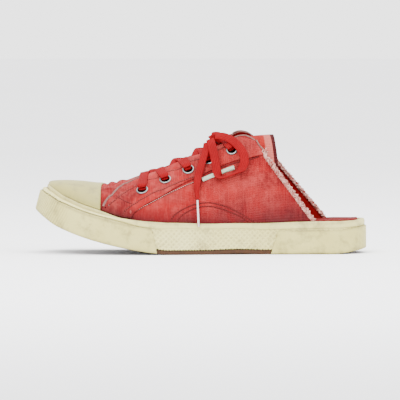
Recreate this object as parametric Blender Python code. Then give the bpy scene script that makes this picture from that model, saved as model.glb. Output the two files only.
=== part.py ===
"""A low canvas sneaker with its heel cut away, worn as a mule: the left shoe.

Metres, +Z up. The toe points along -X, and the outer side of the foot is -Y. The origin is on the floor
under the middle of the shoe. "From the toe" means a distance along +X from the toe's front end.
"""

import math

import bmesh
import bpy
import numpy as np

# Driving dimensions
LENGTH = 0.290  # toe bumper to heel patch
BALL_WIDTH = 0.104  # across the foxing at the ball of the foot
TOE_SHIFT = 0.008  # the toe's tip lies this far to the big-toe side
TOE_ROUND_OUTER = 0.075  # how far back the toe's curve runs on the outer side
TOE_ROUND_INNER = 0.045
HEEL_ROUND = 0.036
TOE_SPRING = 0.040  # lift of the sole's underside at the toe's tip
FOXING_HEIGHT = 0.027  # the sole's rubber wall at the ball
FOXING_WALL = 0.003
RIM_HEIGHT = 0.0046  # the plain strip along the foxing's top
RIM_PROUD = 0.0005
TOE_LEAN = 0.0050  # how far the wall's top leans in at the toe
OUTSOLE_THICK = 0.0033
TREAD_DEPTH = 0.0012
TREAD_MARGIN = 0.0014  # rubber left round each tread cell
BED_DEPTH = 0.0125  # the insole's top lies this far below the foxing's top at the ball
INSOLE_THICK = 0.0042
BUMPER_THICK = 0.0020
BUMPER_LENGTH = 0.102  # from the toe to the bumper's end, along its top
BUMPER_SLANT = 0.005  # its lower edge runs this much further
PATCH_THICK = 0.0016
PATCH_HEIGHT = 0.0205
PATCH_LENGTH = 0.077  # from the heel to the patch's front end, along its top
PATCH_SLANT = 0.007
STRIP_THICK = 0.0016
STRIP_SHOWS = 0.0033  # height of the toe strip above the foxing
STRIP_LENGTH = 0.080
CAP_THICK = 0.0012
CAP_LENGTH = 0.057
CAP_HOLLOW = 0.003  # the cap's rear edge curves forward this much at the middle
UPPER_WALL = 0.0018
VAMP_LENGTH = 0.095  # from the toe to the front of the throat
COLLAR_FROM_HEEL = 0.097  # from the heel to the corner between collar and cut
INSTEP_HEIGHT = 0.113  # height that the upper's sections close at, behind the throat
RIDGE_SHIFT = 0.005  # the upper's ridge lies this far to the inner side
TOE_FAN = 0.050  # the upper's sections fan out round the toe in front of this
CUT_FROM_HEEL_OUTER = 0.046  # from the heel to where the cut meets the sole
CUT_FROM_HEEL_INNER = 0.034
TONGUE_START = 0.076
TONGUE_FROM_HEEL = 0.084
TONGUE_WIDTH = 0.058
TONGUE_THICK = 0.0025
EYESTAY_THICK = 0.0008
TAPE_WIDTH = 0.0035
TAPE_THICK = 0.0005
EYELET_OUTER = 0.0055  # radii of the eyelet's flange, of its barrel and of the hole in the barrel
EYELET_BARREL = 0.0037
EYELET_HOLE = 0.0031
FLANGE_THICK = 0.0007
LACE_WIDTH = 0.0075
LACE_THICK = 0.0014
AGLET_RADIUS = 0.0014
AGLET_START = 0.08  # the gap before it, as a share of the way from the lace's end to its own
KNOT_SIZE = (0.015, 0.013, 0.0072)
FRAY_RADIUS = 0.0014
GAP = 0.0003  # between pieces that lie against each other
CURVED_GAP = 0.0006  # and between facets that cross each other's edges

PATCH_START = LENGTH - PATCH_LENGTH
QUARTER_END = LENGTH - COLLAR_FROM_HEEL
TONGUE_END = LENGTH - TONGUE_FROM_HEEL

# Mesh fineness
FORE_STEPS = 11  # ring points on each side from the toe's tip to the throat's front
REAR_STEPS = 20  # and from there to the heel
ARC_STEPS = 9  # cells from the foxing to the ridge
PLATE_STEPS = 3  # cells across a plate
TREAD_STEPS = 6  # and across the outsole
EYESTAY_STEPS = 18
ROUND_SIDES = 10


def table(text):
    """Rows of numbers under a line of column names."""
    lines = [line.split() for line in text.strip().splitlines()]
    return {name: np.array([float(row[k]) for row in lines[1:]]) for k, name in enumerate(lines[0])}


# The sole. at: share of the length, from the toe. outer, inner: half widths as shares of the ball width,
# before the ends are rounded. lift: share of the toe spring. wall: share of the foxing height. rim: share
# of the rim height. lean: share of the toe's lean. bed: share of the bed depth.
SOLE = table("""
at     outer  inner  lift   wall   rim    lean   bed
0.000  0.500  0.442  1.000  0.690  0.43   1.00   0.36
0.014  0.500  0.442  0.895  0.725  0.43   1.00   0.45
0.034  0.500  0.447  0.775  0.800  0.43   0.95   0.56
0.066  0.500  0.452  0.612  0.870  0.43   0.80   0.70
0.097  0.500  0.457  0.508  0.905  0.43   0.64   0.80
0.141  0.500  0.462  0.385  0.911  0.43   0.48   0.87
0.197  0.505  0.466  0.262  0.922  0.43   0.36   0.92
0.259  0.514  0.471  0.155  0.955  0.70   0.28   0.97
0.328  0.519  0.457  0.060  0.996  1.20   0.24   1.00
0.370  0.516  0.440  0.022  1.020  1.26   0.22   1.00
0.407  0.508  0.423  0.000  1.028  1.05   0.20   1.00
0.510  0.462  0.372  0.000  0.996  1.00   0.18   0.82
0.610  0.416  0.340  0.020  0.974  1.00   0.16   0.52
0.710  0.385  0.332  0.000  1.007  1.32   0.12   0.22
0.810  0.366  0.338  0.000  1.044  1.35   0.08   0.05
0.905  0.356  0.341  0.000  1.058  1.34   0.04  -0.02
0.966  0.351  0.341  0.055  0.989  1.26   0.02  -0.02
1.000  0.346  0.337  0.112  0.948  1.22   0.02  -0.02
""")

# The upper's cross sections. ridge: share of the instep height. power: how boxy the section is. side: share
# of the ridge shift.
SECTIONS = table("""
at     ridge  power  side
0.000  0.530  2.30   1.30
0.095  0.544  2.30   1.20
0.141  0.538  2.30   1.10
0.197  0.524  2.25   1.00
0.262  0.552  2.15   1.00
0.328  0.598  2.00   0.90
0.362  0.634  1.90   0.80
0.400  0.678  1.80   0.70
0.466  0.775  1.66   0.60
0.500  0.812  1.64   0.50
0.552  0.882  1.68   0.40
0.593  0.942  1.76   0.30
0.631  0.978  1.84   0.20
0.672  0.996  1.95   0.10
0.707  1.000  2.05   0.00
0.900  1.000  2.20   0.00
""")

# The throat's edges and the collar. along: share of the way from the throat's front to the collar's corner.
# outer, inner: the edge's height as a share of the section's height.
TOP_EDGE = table("""
along  outer  inner
0.000  1.000  1.000
0.020  0.990  0.992
0.051  0.981  0.985
0.102  0.971  0.980
0.255  0.953  0.972
0.408  0.925  0.960
0.561  0.913  0.955
0.724  0.903  0.957
0.827  0.916  0.964
0.908  0.902  0.935
1.000  0.840  0.851
""")

# The cut that takes the heel off. rise: height as a share of the section's height. outer, inner: share of the
# way from the collar's corner to the cut's foot.
CUT_EDGE = table("""
rise   outer  inner
0.000  1.000  1.000
0.200  0.757  0.778
0.400  0.514  0.552
0.600  0.270  0.325
0.660  0.196  0.258
0.740  0.141  0.175
0.790  0.067  0.087
0.860  0.000  0.000
""")

# The tongue's ridge. along: share of the tongue. drop: share of the instep height below the upper's ridge.
TONGUE_DROP = table("""
along  drop
0.00   0.000
0.45   0.012
0.70   0.040
0.88   0.085
1.00   0.095
""")

# What follows is placed along the throat: 0 at its front, 1 at the collar's corner, below 0 in front of it. rise
# is the share of the section's height.

# The eyestay's two long edges: the one over the vamp and the throat, and the seam below
EYESTAY = table("""
share  edge_at  edge   seam_at  seam
0.00   -0.381   0.030  -0.111   0.030
0.06   -0.354   0.340  -0.088   0.155
0.12   -0.295   0.600  -0.046   0.250
0.19   -0.224   0.810   0.007   0.340
0.26   -0.141   0.900   0.072   0.410
0.33   -0.058   0.945   0.143   0.465
0.40    0.019   0.968   0.223   0.525
0.52    0.220   0.952   0.362   0.585
0.64    0.421   0.920   0.540   0.630
0.76    0.623   0.905   0.723   0.662
0.88    0.815   0.898   0.901   0.662
1.00    0.990   0.835   1.078   0.690
""")

EYELETS = table("""
along   rise
-0.008  0.672
 0.202  0.743
 0.410  0.752
 0.599  0.786
 0.800  0.785
""")

# The tape under the outer eyestay's seam
TAPE = table("""
along  rise
0.531  0.572
0.673  0.588
0.815  0.596
""")

# The lace's loop and its end on the outer side. out: millimetres from the upper's face to the lace's middle.
LACE_LOOP = table("""
along  rise   out
0.637  0.920  11.2
0.647  0.850  9.2
0.655  0.762  7.2
0.661  0.669  5.6
0.667  0.591  4.4
0.686  0.531  4.0
0.724  0.506  4.0
0.776  0.509  4.2
0.824  0.522  4.6
0.862  0.560  4.8
0.876  0.627  4.8
0.867  0.695  4.8
0.837  0.772  5.2
0.791  0.847  6.4
0.737  0.908  8.2
0.694  0.928  10.0
""")
LACE_END = table("""
along  rise   out
0.607  0.905  8.8
0.584  0.848  7.0
0.553  0.779  5.8
0.522  0.697  4.4
0.497  0.608  3.4
0.484  0.510  2.8
0.481  0.425  2.4
0.483  0.345  2.2
""")
KNOT_ALONG = 0.648
KNOT_SIDE = -0.004  # from the shoe's axis
CROSSING_LEAN = 0.005  # how far a crossing runs forward from its eyelet to the throat's edge
CROSSING_LIFT = 0.0028  # its middle above the tongue
KNOT_LIFT = 0.0076  # its underside above the tongue
AGLET_LOW = 0.0244  # height of the aglet's lower end
MM = 0.001

SIDES = {"outer": -1, "inner": 1}
CUT_FOOT = {"outer": LENGTH - CUT_FROM_HEEL_OUTER, "inner": LENGTH - CUT_FROM_HEEL_INNER}
TOE_ROUND = {"outer": TOE_ROUND_OUTER, "inner": TOE_ROUND_INNER}
TOE_POWER = 2.2
HEEL_POWER = 2.3


def smooth_read(columns, key, name, at):
    """A column read between its rows along a curve that doesn't overshoot them."""
    xs, ys = columns[key], columns[name]
    at = min(max(at, xs[0]), xs[-1])
    k = min(int(np.searchsorted(xs, at, side="right")) - 1, len(xs) - 2)
    steps = np.diff(ys) / np.diff(xs)

    def slope(i):
        if i == 0 or i == len(xs) - 1:
            return steps[min(i, len(steps) - 1)]
        before, after = steps[i - 1], steps[i]
        return 0.0 if before * after <= 0 else 2 * before * after / (before + after)

    span = xs[k + 1] - xs[k]
    t = (at - xs[k]) / span
    return float(
        ys[k] * (1 + 2 * t) * (1 - t) ** 2
        + span * slope(k) * t * (1 - t) ** 2
        + ys[k + 1] * t * t * (3 - 2 * t)
        + span * slope(k + 1) * t * t * (t - 1)
    )


def sole_size(name, x):
    return smooth_read(SOLE, "at", name, x / LENGTH)


FOXING_FRONT = BUMPER_THICK + GAP
FOXING_BACK = LENGTH - PATCH_THICK - GAP


def half_width(side, x):
    """How far the foxing's outer face lies from the shoe's axis, with the toe and the heel rounded."""
    free = SIDES[side] * BALL_WIDTH * sole_size(side, x)
    reach = TOE_ROUND[side]
    toe = max(0.0, 1 - (x - FOXING_FRONT) / reach)
    heel = max(0.0, 1 - (FOXING_BACK - x) / HEEL_ROUND)
    toe_share = max(0.0, 1 - toe**TOE_POWER) ** (1 / TOE_POWER)
    heel_share = max(0.0, 1 - heel**HEEL_POWER) ** (1 / HEEL_POWER)
    return (TOE_SHIFT + (free - TOE_SHIFT) * toe_share) * heel_share


WIDEST = {side: max(abs(half_width(side, LENGTH * k / 200)) for k in range(2, 199)) for side in SIDES}
AXIS_Y = (WIDEST["outer"] - WIDEST["inner"]) / 2


def side_points(side):
    """One side of the foxing's outline from the toe's tip to the heel's: evenly spaced as far as the throat's
    front, and evenly from there."""
    fine = []
    for k in range(401):
        x = FOXING_FRONT + (FOXING_BACK - FOXING_FRONT) * (1 - math.cos(math.pi * k / 400)) / 2
        fine.append((x, half_width(side, x)))
    fine = np.array(fine)
    run = np.concatenate([[0], np.cumsum(np.linalg.norm(np.diff(fine, axis=0), axis=1))])
    throat_run = float(np.interp(VAMP_LENGTH, fine[:, 0], run))
    wanted = np.concatenate([
        np.linspace(0, throat_run, FORE_STEPS, endpoint=False),
        np.linspace(throat_run, run[-1], REAR_STEPS + 1),
    ])
    return np.stack([np.interp(wanted, run, fine[:, k]) for k in (0, 1)], axis=1)


def ring_normals(points):
    """Outward normals of a loop, as long as a mitre needs."""
    ahead, behind = np.roll(points, -1, axis=0), np.roll(points, 1, axis=0)
    into = (points - behind) / np.linalg.norm(points - behind, axis=1)[:, None]
    away = (ahead - points) / np.linalg.norm(ahead - points, axis=1)[:, None]
    turned_in = np.stack([-into[:, 1], into[:, 0]], axis=1)
    turned_away = np.stack([-away[:, 1], away[:, 0]], axis=1)
    mitre = turned_in + turned_away
    return mitre / (mitre * turned_in).sum(1)[:, None]


# The foxing's outline, from the heel along the outer side to the toe and back along the inner side
TOE_STEP = FORE_STEPS + REAR_STEPS
RING_STEPS = 2 * TOE_STEP
RING = np.vstack([side_points("outer")[::-1], side_points("inner")[1:-1]])
RING_NORMALS = ring_normals(RING)


def wall_point(step, out, height):
    """A point on the sole's side. step: place round the ring. out: distance outwards from the foxing's face.
    height: above the sole's underside."""
    low = math.floor(step)
    share = step - low
    ends = []
    for k in (low % RING_STEPS, (low + 1) % RING_STEPS):
        x, y = RING[k]
        lean = TOE_LEAN * sole_size("lean", x) * height / (FOXING_HEIGHT * sole_size("wall", x))
        x2, y2 = np.array([x, y]) + RING_NORMALS[k] * (out - lean)
        ends.append(np.array([x2, y2, TOE_SPRING * sole_size("lift", x) + height]))
    return ends[0] * (1 - share) + ends[1] * share


def ring_x(step):
    low = math.floor(step)
    a, b = RING[low % RING_STEPS][0], RING[(low + 1) % RING_STEPS][0]
    return a + (b - a) * (step - low)


def step_at(side, x):
    """The place round the ring where that side of the foxing is this far from the toe."""
    if side == "outer":
        steps = np.arange(0, TOE_STEP + 1)
    else:
        steps = np.arange(RING_STEPS, TOE_STEP - 1, -1)
    xs = np.array([RING[s % RING_STEPS][0] for s in steps])
    return float(np.interp(-x, -xs, steps))


def at_ring(size, step):
    """A size at a place on the ring, read straight between the ring's points as the facets run."""
    low = math.floor(step)
    first, second = size(ring_x(low)), size(ring_x(low + 1))
    return first + (second - first) * (step - low)


def wall_height(x):
    return FOXING_HEIGHT * sole_size("wall", x)


def rim_height(x):
    return RIM_HEIGHT * sole_size("rim", x)


def bed_height(x):
    """The insole's top above the sole's underside."""
    return wall_height(x) - BED_DEPTH * sole_size("bed", x)


def midsole_top(x):
    return bed_height(x) - INSOLE_THICK - GAP


def fade(x, start, stop):
    """1 before start, 0 after stop, smooth between."""
    t = min(max((x - start) / (stop - start), 0.0), 1.0)
    return 1 - t * t * (3 - 2 * t)


def upper_out(x):
    """The upper's outer face, measured outwards from the foxing's: it lies further in behind the toe strip."""
    behind_strip = (STRIP_THICK + GAP) * fade(x, STRIP_LENGTH + 0.004, STRIP_LENGTH + 0.018)
    return -(FOXING_WALL + GAP) - behind_strip


def strip_top(x):
    """How far the toe strip shows above the foxing."""
    return STRIP_SHOWS * fade(x, STRIP_LENGTH - 0.030, STRIP_LENGTH)


def throat_x(along):
    """The distance from the toe of a place along the throat."""
    return VAMP_LENGTH + (QUARTER_END - VAMP_LENGTH) * along


def throat_edge(side, x):
    """The throat's edge, as a share of the section's height."""
    along = (x - VAMP_LENGTH) / (QUARTER_END - VAMP_LENGTH)
    return smooth_read(TOP_EDGE, "along", side, along)


def tongue_lower(x):
    """How far the tongue's ridge lies below the upper's."""
    along = (x - TONGUE_START) / (TONGUE_END - TONGUE_START)
    return INSTEP_HEIGHT * smooth_read(TONGUE_DROP, "along", "drop", along)


def world(point):
    return (point[0] - LENGTH / 2, point[1] + AXIS_Y, point[2])


# The upper's surface


def section_size(name, x):
    return smooth_read(SECTIONS, "at", name, x / LENGTH)


def ridge_point(x):
    return np.array([x, RIDGE_SHIFT * section_size("side", x), INSTEP_HEIGHT * section_size("ridge", x)])


def base_point(step):
    x = ring_x(step)
    return wall_point(step, upper_out(x), wall_height(x) + strip_top(x))


def arc_point(step, v, lower=0.0):
    """The upper's outer face on the section that starts at this place of the ring. v runs from 0 at the foxing to
    1 at the ridge, and lower takes the ridge down."""
    base = base_point(step)
    x = base[0] if base[0] > TOE_FAN else TOE_FAN - (TOE_FAN - base[0]) * 0.55
    ridge = ridge_point(x) - np.array([0, 0, lower])
    power = section_size("power", x)
    angle = min(max(v, 0.0), 1.0) * math.pi / 2
    inward = 1 - max(math.cos(angle), 0.0) ** (2 / power)
    upward = math.sin(angle) ** (2 / power)
    return np.array([
        base[0] + (ridge[0] - base[0]) * inward,
        base[1] + (ridge[1] - base[1]) * inward,
        base[2] + (ridge[2] - base[2]) * upward,
    ])


def arc_normal(step, v, lower=0.0):
    """Outward normal of the upper's face."""
    v = min(max(v, 0.02), 0.98)
    along = arc_point(step + 0.2, v, lower) - arc_point(step - 0.2, v, lower)
    up = arc_point(step, v + 0.02, lower) - arc_point(step, v - 0.02, lower)
    normal = np.cross(up, along)
    normal /= np.linalg.norm(normal)
    middle = ridge_point(arc_point(step, v)[0]) - np.array([0, 0, INSTEP_HEIGHT])
    return normal if normal @ (arc_point(step, v, lower) - middle) > 0 else -normal


def v_at_rise(x, rise):
    return math.asin(min(max(rise, 0.0), 1.0) ** (section_size("power", x) / 2)) * 2 / math.pi


def off_upper(side, x, v, out, lower=0.0):
    """A point this far outside the upper's face, at this distance from the toe."""
    step = step_at(side, x)
    return arc_point(step, v, lower) + out * arc_normal(step, v, lower)


def cut_at(side, rise):
    share = smooth_read(CUT_EDGE, "rise", side, rise)
    return QUARTER_END + (CUT_FOOT[side] - QUARTER_END) * share


def quarter_place(side, a, b):
    """Where a point of the quarter lies, as a distance from the toe and a v. a runs from the throat's front to the
    cut, b from the foxing to the throat's edge, the collar and the cut's top."""
    foot = CUT_FOOT[side]
    corner_rise = smooth_read(TOP_EDGE, "along", side, 1.0)
    corner_v = v_at_rise(QUARTER_END, corner_rise)
    bottom = np.array([VAMP_LENGTH + (foot - VAMP_LENGTH) * a, 0.0])
    along = a**1.2
    top_x = VAMP_LENGTH + (QUARTER_END - VAMP_LENGTH) * along
    top = np.array([top_x, v_at_rise(top_x, smooth_read(TOP_EDGE, "along", side, along))])
    front = np.array([VAMP_LENGTH, b])
    rear_rise = corner_rise * b
    rear_x = cut_at(side, rear_rise)
    rear = np.array([rear_x, v_at_rise(rear_x, rear_rise)])
    corners = (
        (1 - a) * (1 - b) * np.array([VAMP_LENGTH, 0.0])
        + a * (1 - b) * np.array([foot, 0.0])
        + (1 - a) * b * np.array([VAMP_LENGTH, 1.0])
        + a * b * np.array([QUARTER_END, corner_v])
    )
    return (1 - b) * bottom + b * top + (1 - a) * front + a * rear - corners


# Ways of making solids

CORE_FRONT, CORE_BACK = TOE_FAN - LENGTH / 2, LENGTH / 2 - HEEL_ROUND
CORE_Z = 0.030


def material(name, colour, roughness, metallic=0.0):
    made = bpy.data.materials.new(name)
    made.use_nodes = True
    shader = made.node_tree.nodes["Principled BSDF"]
    shader.inputs["Base Color"].default_value = (*colour, 1.0)
    shader.inputs["Roughness"].default_value = roughness
    shader.inputs["Metallic"].default_value = metallic
    return made


def finish(name, bm, finish_material, solidify=0.0):
    """The bmesh as an object. solidify gives an open face its wall, inwards."""
    if solidify:
        top = max(bm.faces, key=lambda f: f.calc_center_median().z)
        bmesh.ops.recalc_face_normals(bm, faces=bm.faces)
        if top.normal.z < 0:
            bmesh.ops.reverse_faces(bm, faces=bm.faces)
    else:
        bmesh.ops.recalc_face_normals(bm, faces=bm.faces)
    mesh = bpy.data.meshes.new(name)
    bm.to_mesh(mesh)
    bm.free()
    mesh.materials.append(finish_material)
    mesh.shade_smooth()
    obj = bpy.data.objects.new(name, mesh)
    bpy.context.scene.collection.objects.link(obj)
    if solidify:
        wall = obj.modifiers.new("Wall", "SOLIDIFY")
        wall.thickness = solidify
        wall.offset = -1
        wall.use_even_offset = True
    return obj


def from_core(point):
    """How far a point lies from the line through the middle of the shoe."""
    x = min(max(point[0], CORE_FRONT), CORE_BACK)
    return math.dist(point, (x, 0.0, CORE_Z))


def grid_faces(bm, rows, closed_along=False, closed_across=False, folded=True):
    """Faces between rows of vertices. A bent cell is folded along its outer diagonal, so that the facets of
    pieces that lie against each other fold alike."""
    count = len(rows)
    for k in range(count if closed_along else count - 1):
        row, after = rows[k], rows[(k + 1) % count]
        width = len(row)
        for j in range(width if closed_across else width - 1):
            corners = []
            for vertex in (row[j], row[(j + 1) % width], after[(j + 1) % width], after[j]):
                if vertex not in corners:
                    corners.append(vertex)
            if len(corners) == 3 or (len(corners) == 4 and not folded):
                bm.faces.new(corners)
            elif len(corners) == 4:
                first, second, third, fourth = corners
                if from_core((first.co + third.co) / 2) < from_core((second.co + fourth.co) / 2):
                    first, second, third, fourth = second, third, fourth, first
                bm.faces.new((first, second, third))
                bm.faces.new((first, third, fourth))


def plate(outer_steps, inner_steps, out, bottom, top, across=PLATE_STEPS):
    """A sheet across the shoe from ring to ring. out, bottom and top are functions of the distance from the toe,
    and out also of the side. Returns its bmesh and the faces underneath."""
    bm = bmesh.new()
    layers = []
    for height in (bottom, top):
        rows = []
        for low_step, high_step in zip(outer_steps, inner_steps):
            x_low, x_high = ring_x(low_step), ring_x(high_step)
            low = wall_point(low_step, out("outer", x_low), height(x_low))
            high = wall_point(high_step, out("inner", x_high), height(x_high))
            row = []
            for j in range(across + 1):
                x, y, _ = low + (high - low) * j / across
                z = TOE_SPRING * sole_size("lift", x) + height(x)
                if j in (0, across):
                    z = (low, high)[j // across][2]
                row.append((x, y, z))
            rows.append(row)
        layers.append(rows)
    made = []
    for rows in layers:
        vertex_rows = []
        for k, row in enumerate(rows):
            if k in (0, len(rows) - 1):
                tip = bm.verts.new(world(row[0]))
                vertex_rows.append([tip] * (across + 1))
            else:
                vertex_rows.append([bm.verts.new(world(p)) for p in row])
        made.append(vertex_rows)
        grid_faces(bm, vertex_rows, folded=False)
    under = list(bm.faces)[: len(bm.faces) // 2]
    for j in (0, across):
        grid_faces(bm, [[rows[k][j] for k in range(len(rows))] for rows in made])
    return bm, under


def band(name, steps, profile, finish_material, closed=False):
    """A strip swept along the sole's side. profile(step) gives (out, height, shift) corners, where shift moves a
    corner round the ring."""
    bm = bmesh.new()
    rows = []
    for step in steps:
        rows.append([bm.verts.new(world(wall_point(step + shift, out, height))) for out, height, shift in profile(step)])
    grid_faces(bm, rows, closed_along=closed, closed_across=True)
    if not closed:
        bm.faces.new(rows[0])
        bm.faces.new(rows[-1])
    return finish(name, bm, finish_material)


def whole_steps(start, stop):
    """The ring's own points between two places, with both places."""
    inside = [k for k in range(math.floor(start) + 1, math.ceil(stop)) if start + 0.25 < k < stop - 0.25]
    return [start, *inside, stop]


# The sole


def make_outsole(rubber):
    steps_out = list(range(0, TOE_STEP + 1))
    steps_in = [RING_STEPS - k for k in steps_out]
    bm, under = plate(steps_out, steps_in, lambda side, x: 0.0, lambda x: 0.0,
                      lambda x: OUTSOLE_THICK, across=TREAD_STEPS)
    bmesh.ops.recalc_face_normals(bm, faces=bm.faces)
    cells = []
    for k, face in enumerate(under):
        column, row = divmod(k, TREAD_STEPS)
        if 0 < row < TREAD_STEPS - 1 and 2 < column < TOE_STEP - 3 and column % 2:
            cells.append(face)
    bmesh.ops.inset_individual(bm, faces=cells, thickness=TREAD_MARGIN, depth=-TREAD_DEPTH)
    return finish("outsole", bm, rubber)


def make_midsole(foam):
    steps_out = list(range(0, TOE_STEP + 1))
    steps_in = [RING_STEPS - k for k in steps_out]
    bm, _ = plate(steps_out, steps_in, lambda side, x: -(FOXING_WALL + GAP),
                  lambda x: OUTSOLE_THICK + GAP, midsole_top)
    return finish("midsole", bm, foam)


def make_insole(lining):
    """The footbed lies inside the upper, and behind the cut it reaches the foxing."""

    def out(side, x):
        inside_upper = upper_out(x) - UPPER_WALL - GAP
        behind_cut = fade(x, CUT_FOOT[side] + 0.003, CUT_FOOT[side] + 0.008)
        return inside_upper * behind_cut - (FOXING_WALL + GAP) * (1 - behind_cut)

    rings = {}
    for side in SIDES:
        low, high = (0, TOE_STEP) if side == "outer" else (TOE_STEP, RING_STEPS)
        steps = {float(k) for k in range(low, high + 1)}
        for extra in (0.003, 0.008):
            steps.add(step_at(side, CUT_FOOT[side] + extra))
        rings[side] = sorted(steps, reverse=side == "inner")
    bm, _ = plate(rings["outer"], rings["inner"], out, lambda x: midsole_top(x) + GAP, bed_height)
    return finish("insole", bm, lining)


def make_foxing(rubber):
    def profile(step):
        x = ring_x(step)
        top, rim = wall_height(x), rim_height(x)
        low = OUTSOLE_THICK + GAP
        return [
            (0.0, low, 0),
            (0.0, top - rim, 0),
            (RIM_PROUD, top - rim + RIM_PROUD, 0),
            (RIM_PROUD, top - RIM_PROUD, 0),
            (-RIM_PROUD, top, 0),
            (-FOXING_WALL, top, 0),
            (-FOXING_WALL, low, 0),
        ]

    return band("foxing", range(RING_STEPS), profile, rubber, closed=True)


def end_shift(steps, length_shift):
    """How far round the ring a corner at the band's end moves for a slanted end, as a function of the step."""
    one_step = np.linalg.norm(RING[1] - RING[2])
    return lambda step, share: (
        0.0 if steps[0] < step < steps[-1] else (1 if step == steps[0] else -1) * share * length_shift / one_step
    )


def make_toe_bumper(rubber):
    start, stop = step_at("outer", BUMPER_LENGTH), step_at("inner", BUMPER_LENGTH)
    steps = whole_steps(start, stop)
    slant = end_shift(steps, -BUMPER_SLANT)

    def profile(step):
        top = at_ring(wall_height, step) - at_ring(rim_height, step) - GAP
        low, soft = GAP, BUMPER_THICK * 0.35
        at_top, at_foot = slant(step, 0.0), slant(step, 1.0)
        return [
            (GAP, low, at_foot),
            (GAP + BUMPER_THICK - soft, low, at_foot),
            (GAP + BUMPER_THICK, low + 2 * soft, at_foot * 0.95),
            (GAP + BUMPER_THICK, top - 2 * soft, at_foot * 0.05),
            (GAP + BUMPER_THICK - soft, top, at_top),
            (GAP, top, at_top),
        ]

    return band("toe_bumper", steps, profile, rubber)


def make_heel_patch(rubber):
    start, stop = step_at("inner", PATCH_START), RING_STEPS + step_at("outer", PATCH_START)
    steps = whole_steps(start, stop)
    slant = end_shift(steps, -PATCH_SLANT)

    def profile(step):
        top = min(PATCH_HEIGHT, at_ring(wall_height, step) - at_ring(rim_height, step) - GAP)
        low, soft = GAP, PATCH_THICK * 0.4
        at_top, at_foot = slant(step, 0.0), slant(step, 1.0)
        return [
            (GAP, low, at_foot),
            (GAP + PATCH_THICK - soft, low, at_foot),
            (GAP + PATCH_THICK, low + 2 * soft, at_foot * 0.95),
            (GAP + PATCH_THICK, top - 2 * soft, at_foot * 0.05),
            (GAP + PATCH_THICK - soft, top, at_top),
            (GAP, top, at_top),
        ]

    return band("heel_patch", steps, profile, rubber)


def make_toe_strip(rubber):
    start, stop = step_at("outer", STRIP_LENGTH), step_at("inner", STRIP_LENGTH)

    def profile(step):
        low = at_ring(wall_height, step) - at_ring(rim_height, step) - STRIP_SHOWS
        top = at_ring(wall_height, step) + at_ring(strip_top, step) - GAP
        outside = -(FOXING_WALL + GAP)
        soft = STRIP_THICK * 0.35
        return [
            (outside - STRIP_THICK, low, 0),
            (outside, low, 0),
            (outside, top - soft, 0),
            (outside - soft, top, 0),
            (outside - STRIP_THICK, top, 0),
        ]

    return band("toe_strip", whole_steps(start, stop), profile, rubber)


# The upper and what lies on it


def way_from_toe(side):
    return -1 if side == "outer" else 1


def fore_columns(side, steps):
    """Places round the ring from the toe's tip to the throat's front."""
    return [TOE_STEP + way_from_toe(side) * k for k in steps]


def quarter_columns(side):
    """Shares of the quarter's length, one at each ring point that its foot passes, and the cut."""
    foot = CUT_FOOT[side]
    shares = []
    for k in range(1, REAR_STEPS):
        x = ring_x(TOE_STEP + way_from_toe(side) * (FORE_STEPS + k))
        share = (x - VAMP_LENGTH) / (foot - VAMP_LENGTH)
        if share < 0.97:
            shares.append(share)
    return [*shares, 1.0]


def make_upper(canvas):
    bm = bmesh.new()
    vs = [k / ARC_STEPS for k in range(ARC_STEPS + 1)]
    toe_column, ridge = [], []

    def add(point):
        return bm.verts.new(world(point))

    def foot_of(step):
        return add(wall_point(step, at_ring(upper_out, step), at_ring(midsole_top, step) + GAP))

    for side in SIDES:
        rows = []
        for k, step in enumerate(fore_columns(side, range(FORE_STEPS + 1))):
            if k == 0 and toe_column:
                rows.append(toe_column)
                continue
            row = [foot_of(step)] + [add(arc_point(step, v)) for v in vs[:-1]]
            if side == "outer":
                ridge.append(add(arc_point(step, 1.0)))
            row.append(ridge[k])
            rows.append(row)
            toe_column = toe_column or row
        for a in quarter_columns(side):
            places = [quarter_place(side, a, b) for b in vs]
            row = [foot_of(step_at(side, places[0][0]))]
            rows.append(row + [add(arc_point(step_at(side, x), v)) for x, v in places])
        grid_faces(bm, rows)
    return finish("upper", bm, canvas, solidify=UPPER_WALL)


def cap_point(step, v, out):
    """Outside the upper's facets, between two of the ring's points."""
    low = math.floor(step)
    first, second = (arc_point(k, v) + out * arc_normal(k, v) for k in (low, low + 1))
    return first + (second - first) * (step - low)


def make_toe_cap(rubber):
    """The cap lies on the upper, from the toe strip's top to its rear edge."""
    bm = bmesh.new()
    vs = [0.03] + [k / ARC_STEPS for k in range(1, ARC_STEPS + 1)]
    toe_column, ridge = [], []
    out = GAP + CAP_THICK
    for side in SIDES:
        end = abs(step_at(side, CAP_LENGTH) - TOE_STEP)
        count = round(abs(step_at("outer", CAP_LENGTH) - TOE_STEP))
        rows = []
        for k, from_tip in enumerate([*range(count), end]):
            if k == 0 and toe_column:
                rows.append(toe_column)
                continue
            row = []
            for v in vs:
                back = CAP_HOLLOW * math.sin(v * math.pi / 2) / 0.010 if k == count else 0.0
                step = TOE_STEP + way_from_toe(side) * (from_tip + back)
                if v == 1 and side == "inner":
                    row.append(ridge[k])
                    continue
                row.append(bm.verts.new(world(cap_point(step, v, out))))
                if v == 1:
                    ridge.append(row[-1])
            rows.append(row)
            toe_column = toe_column or row
        grid_faces(bm, rows)
    return finish("toe_cap", bm, rubber, solidify=CAP_THICK)


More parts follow.
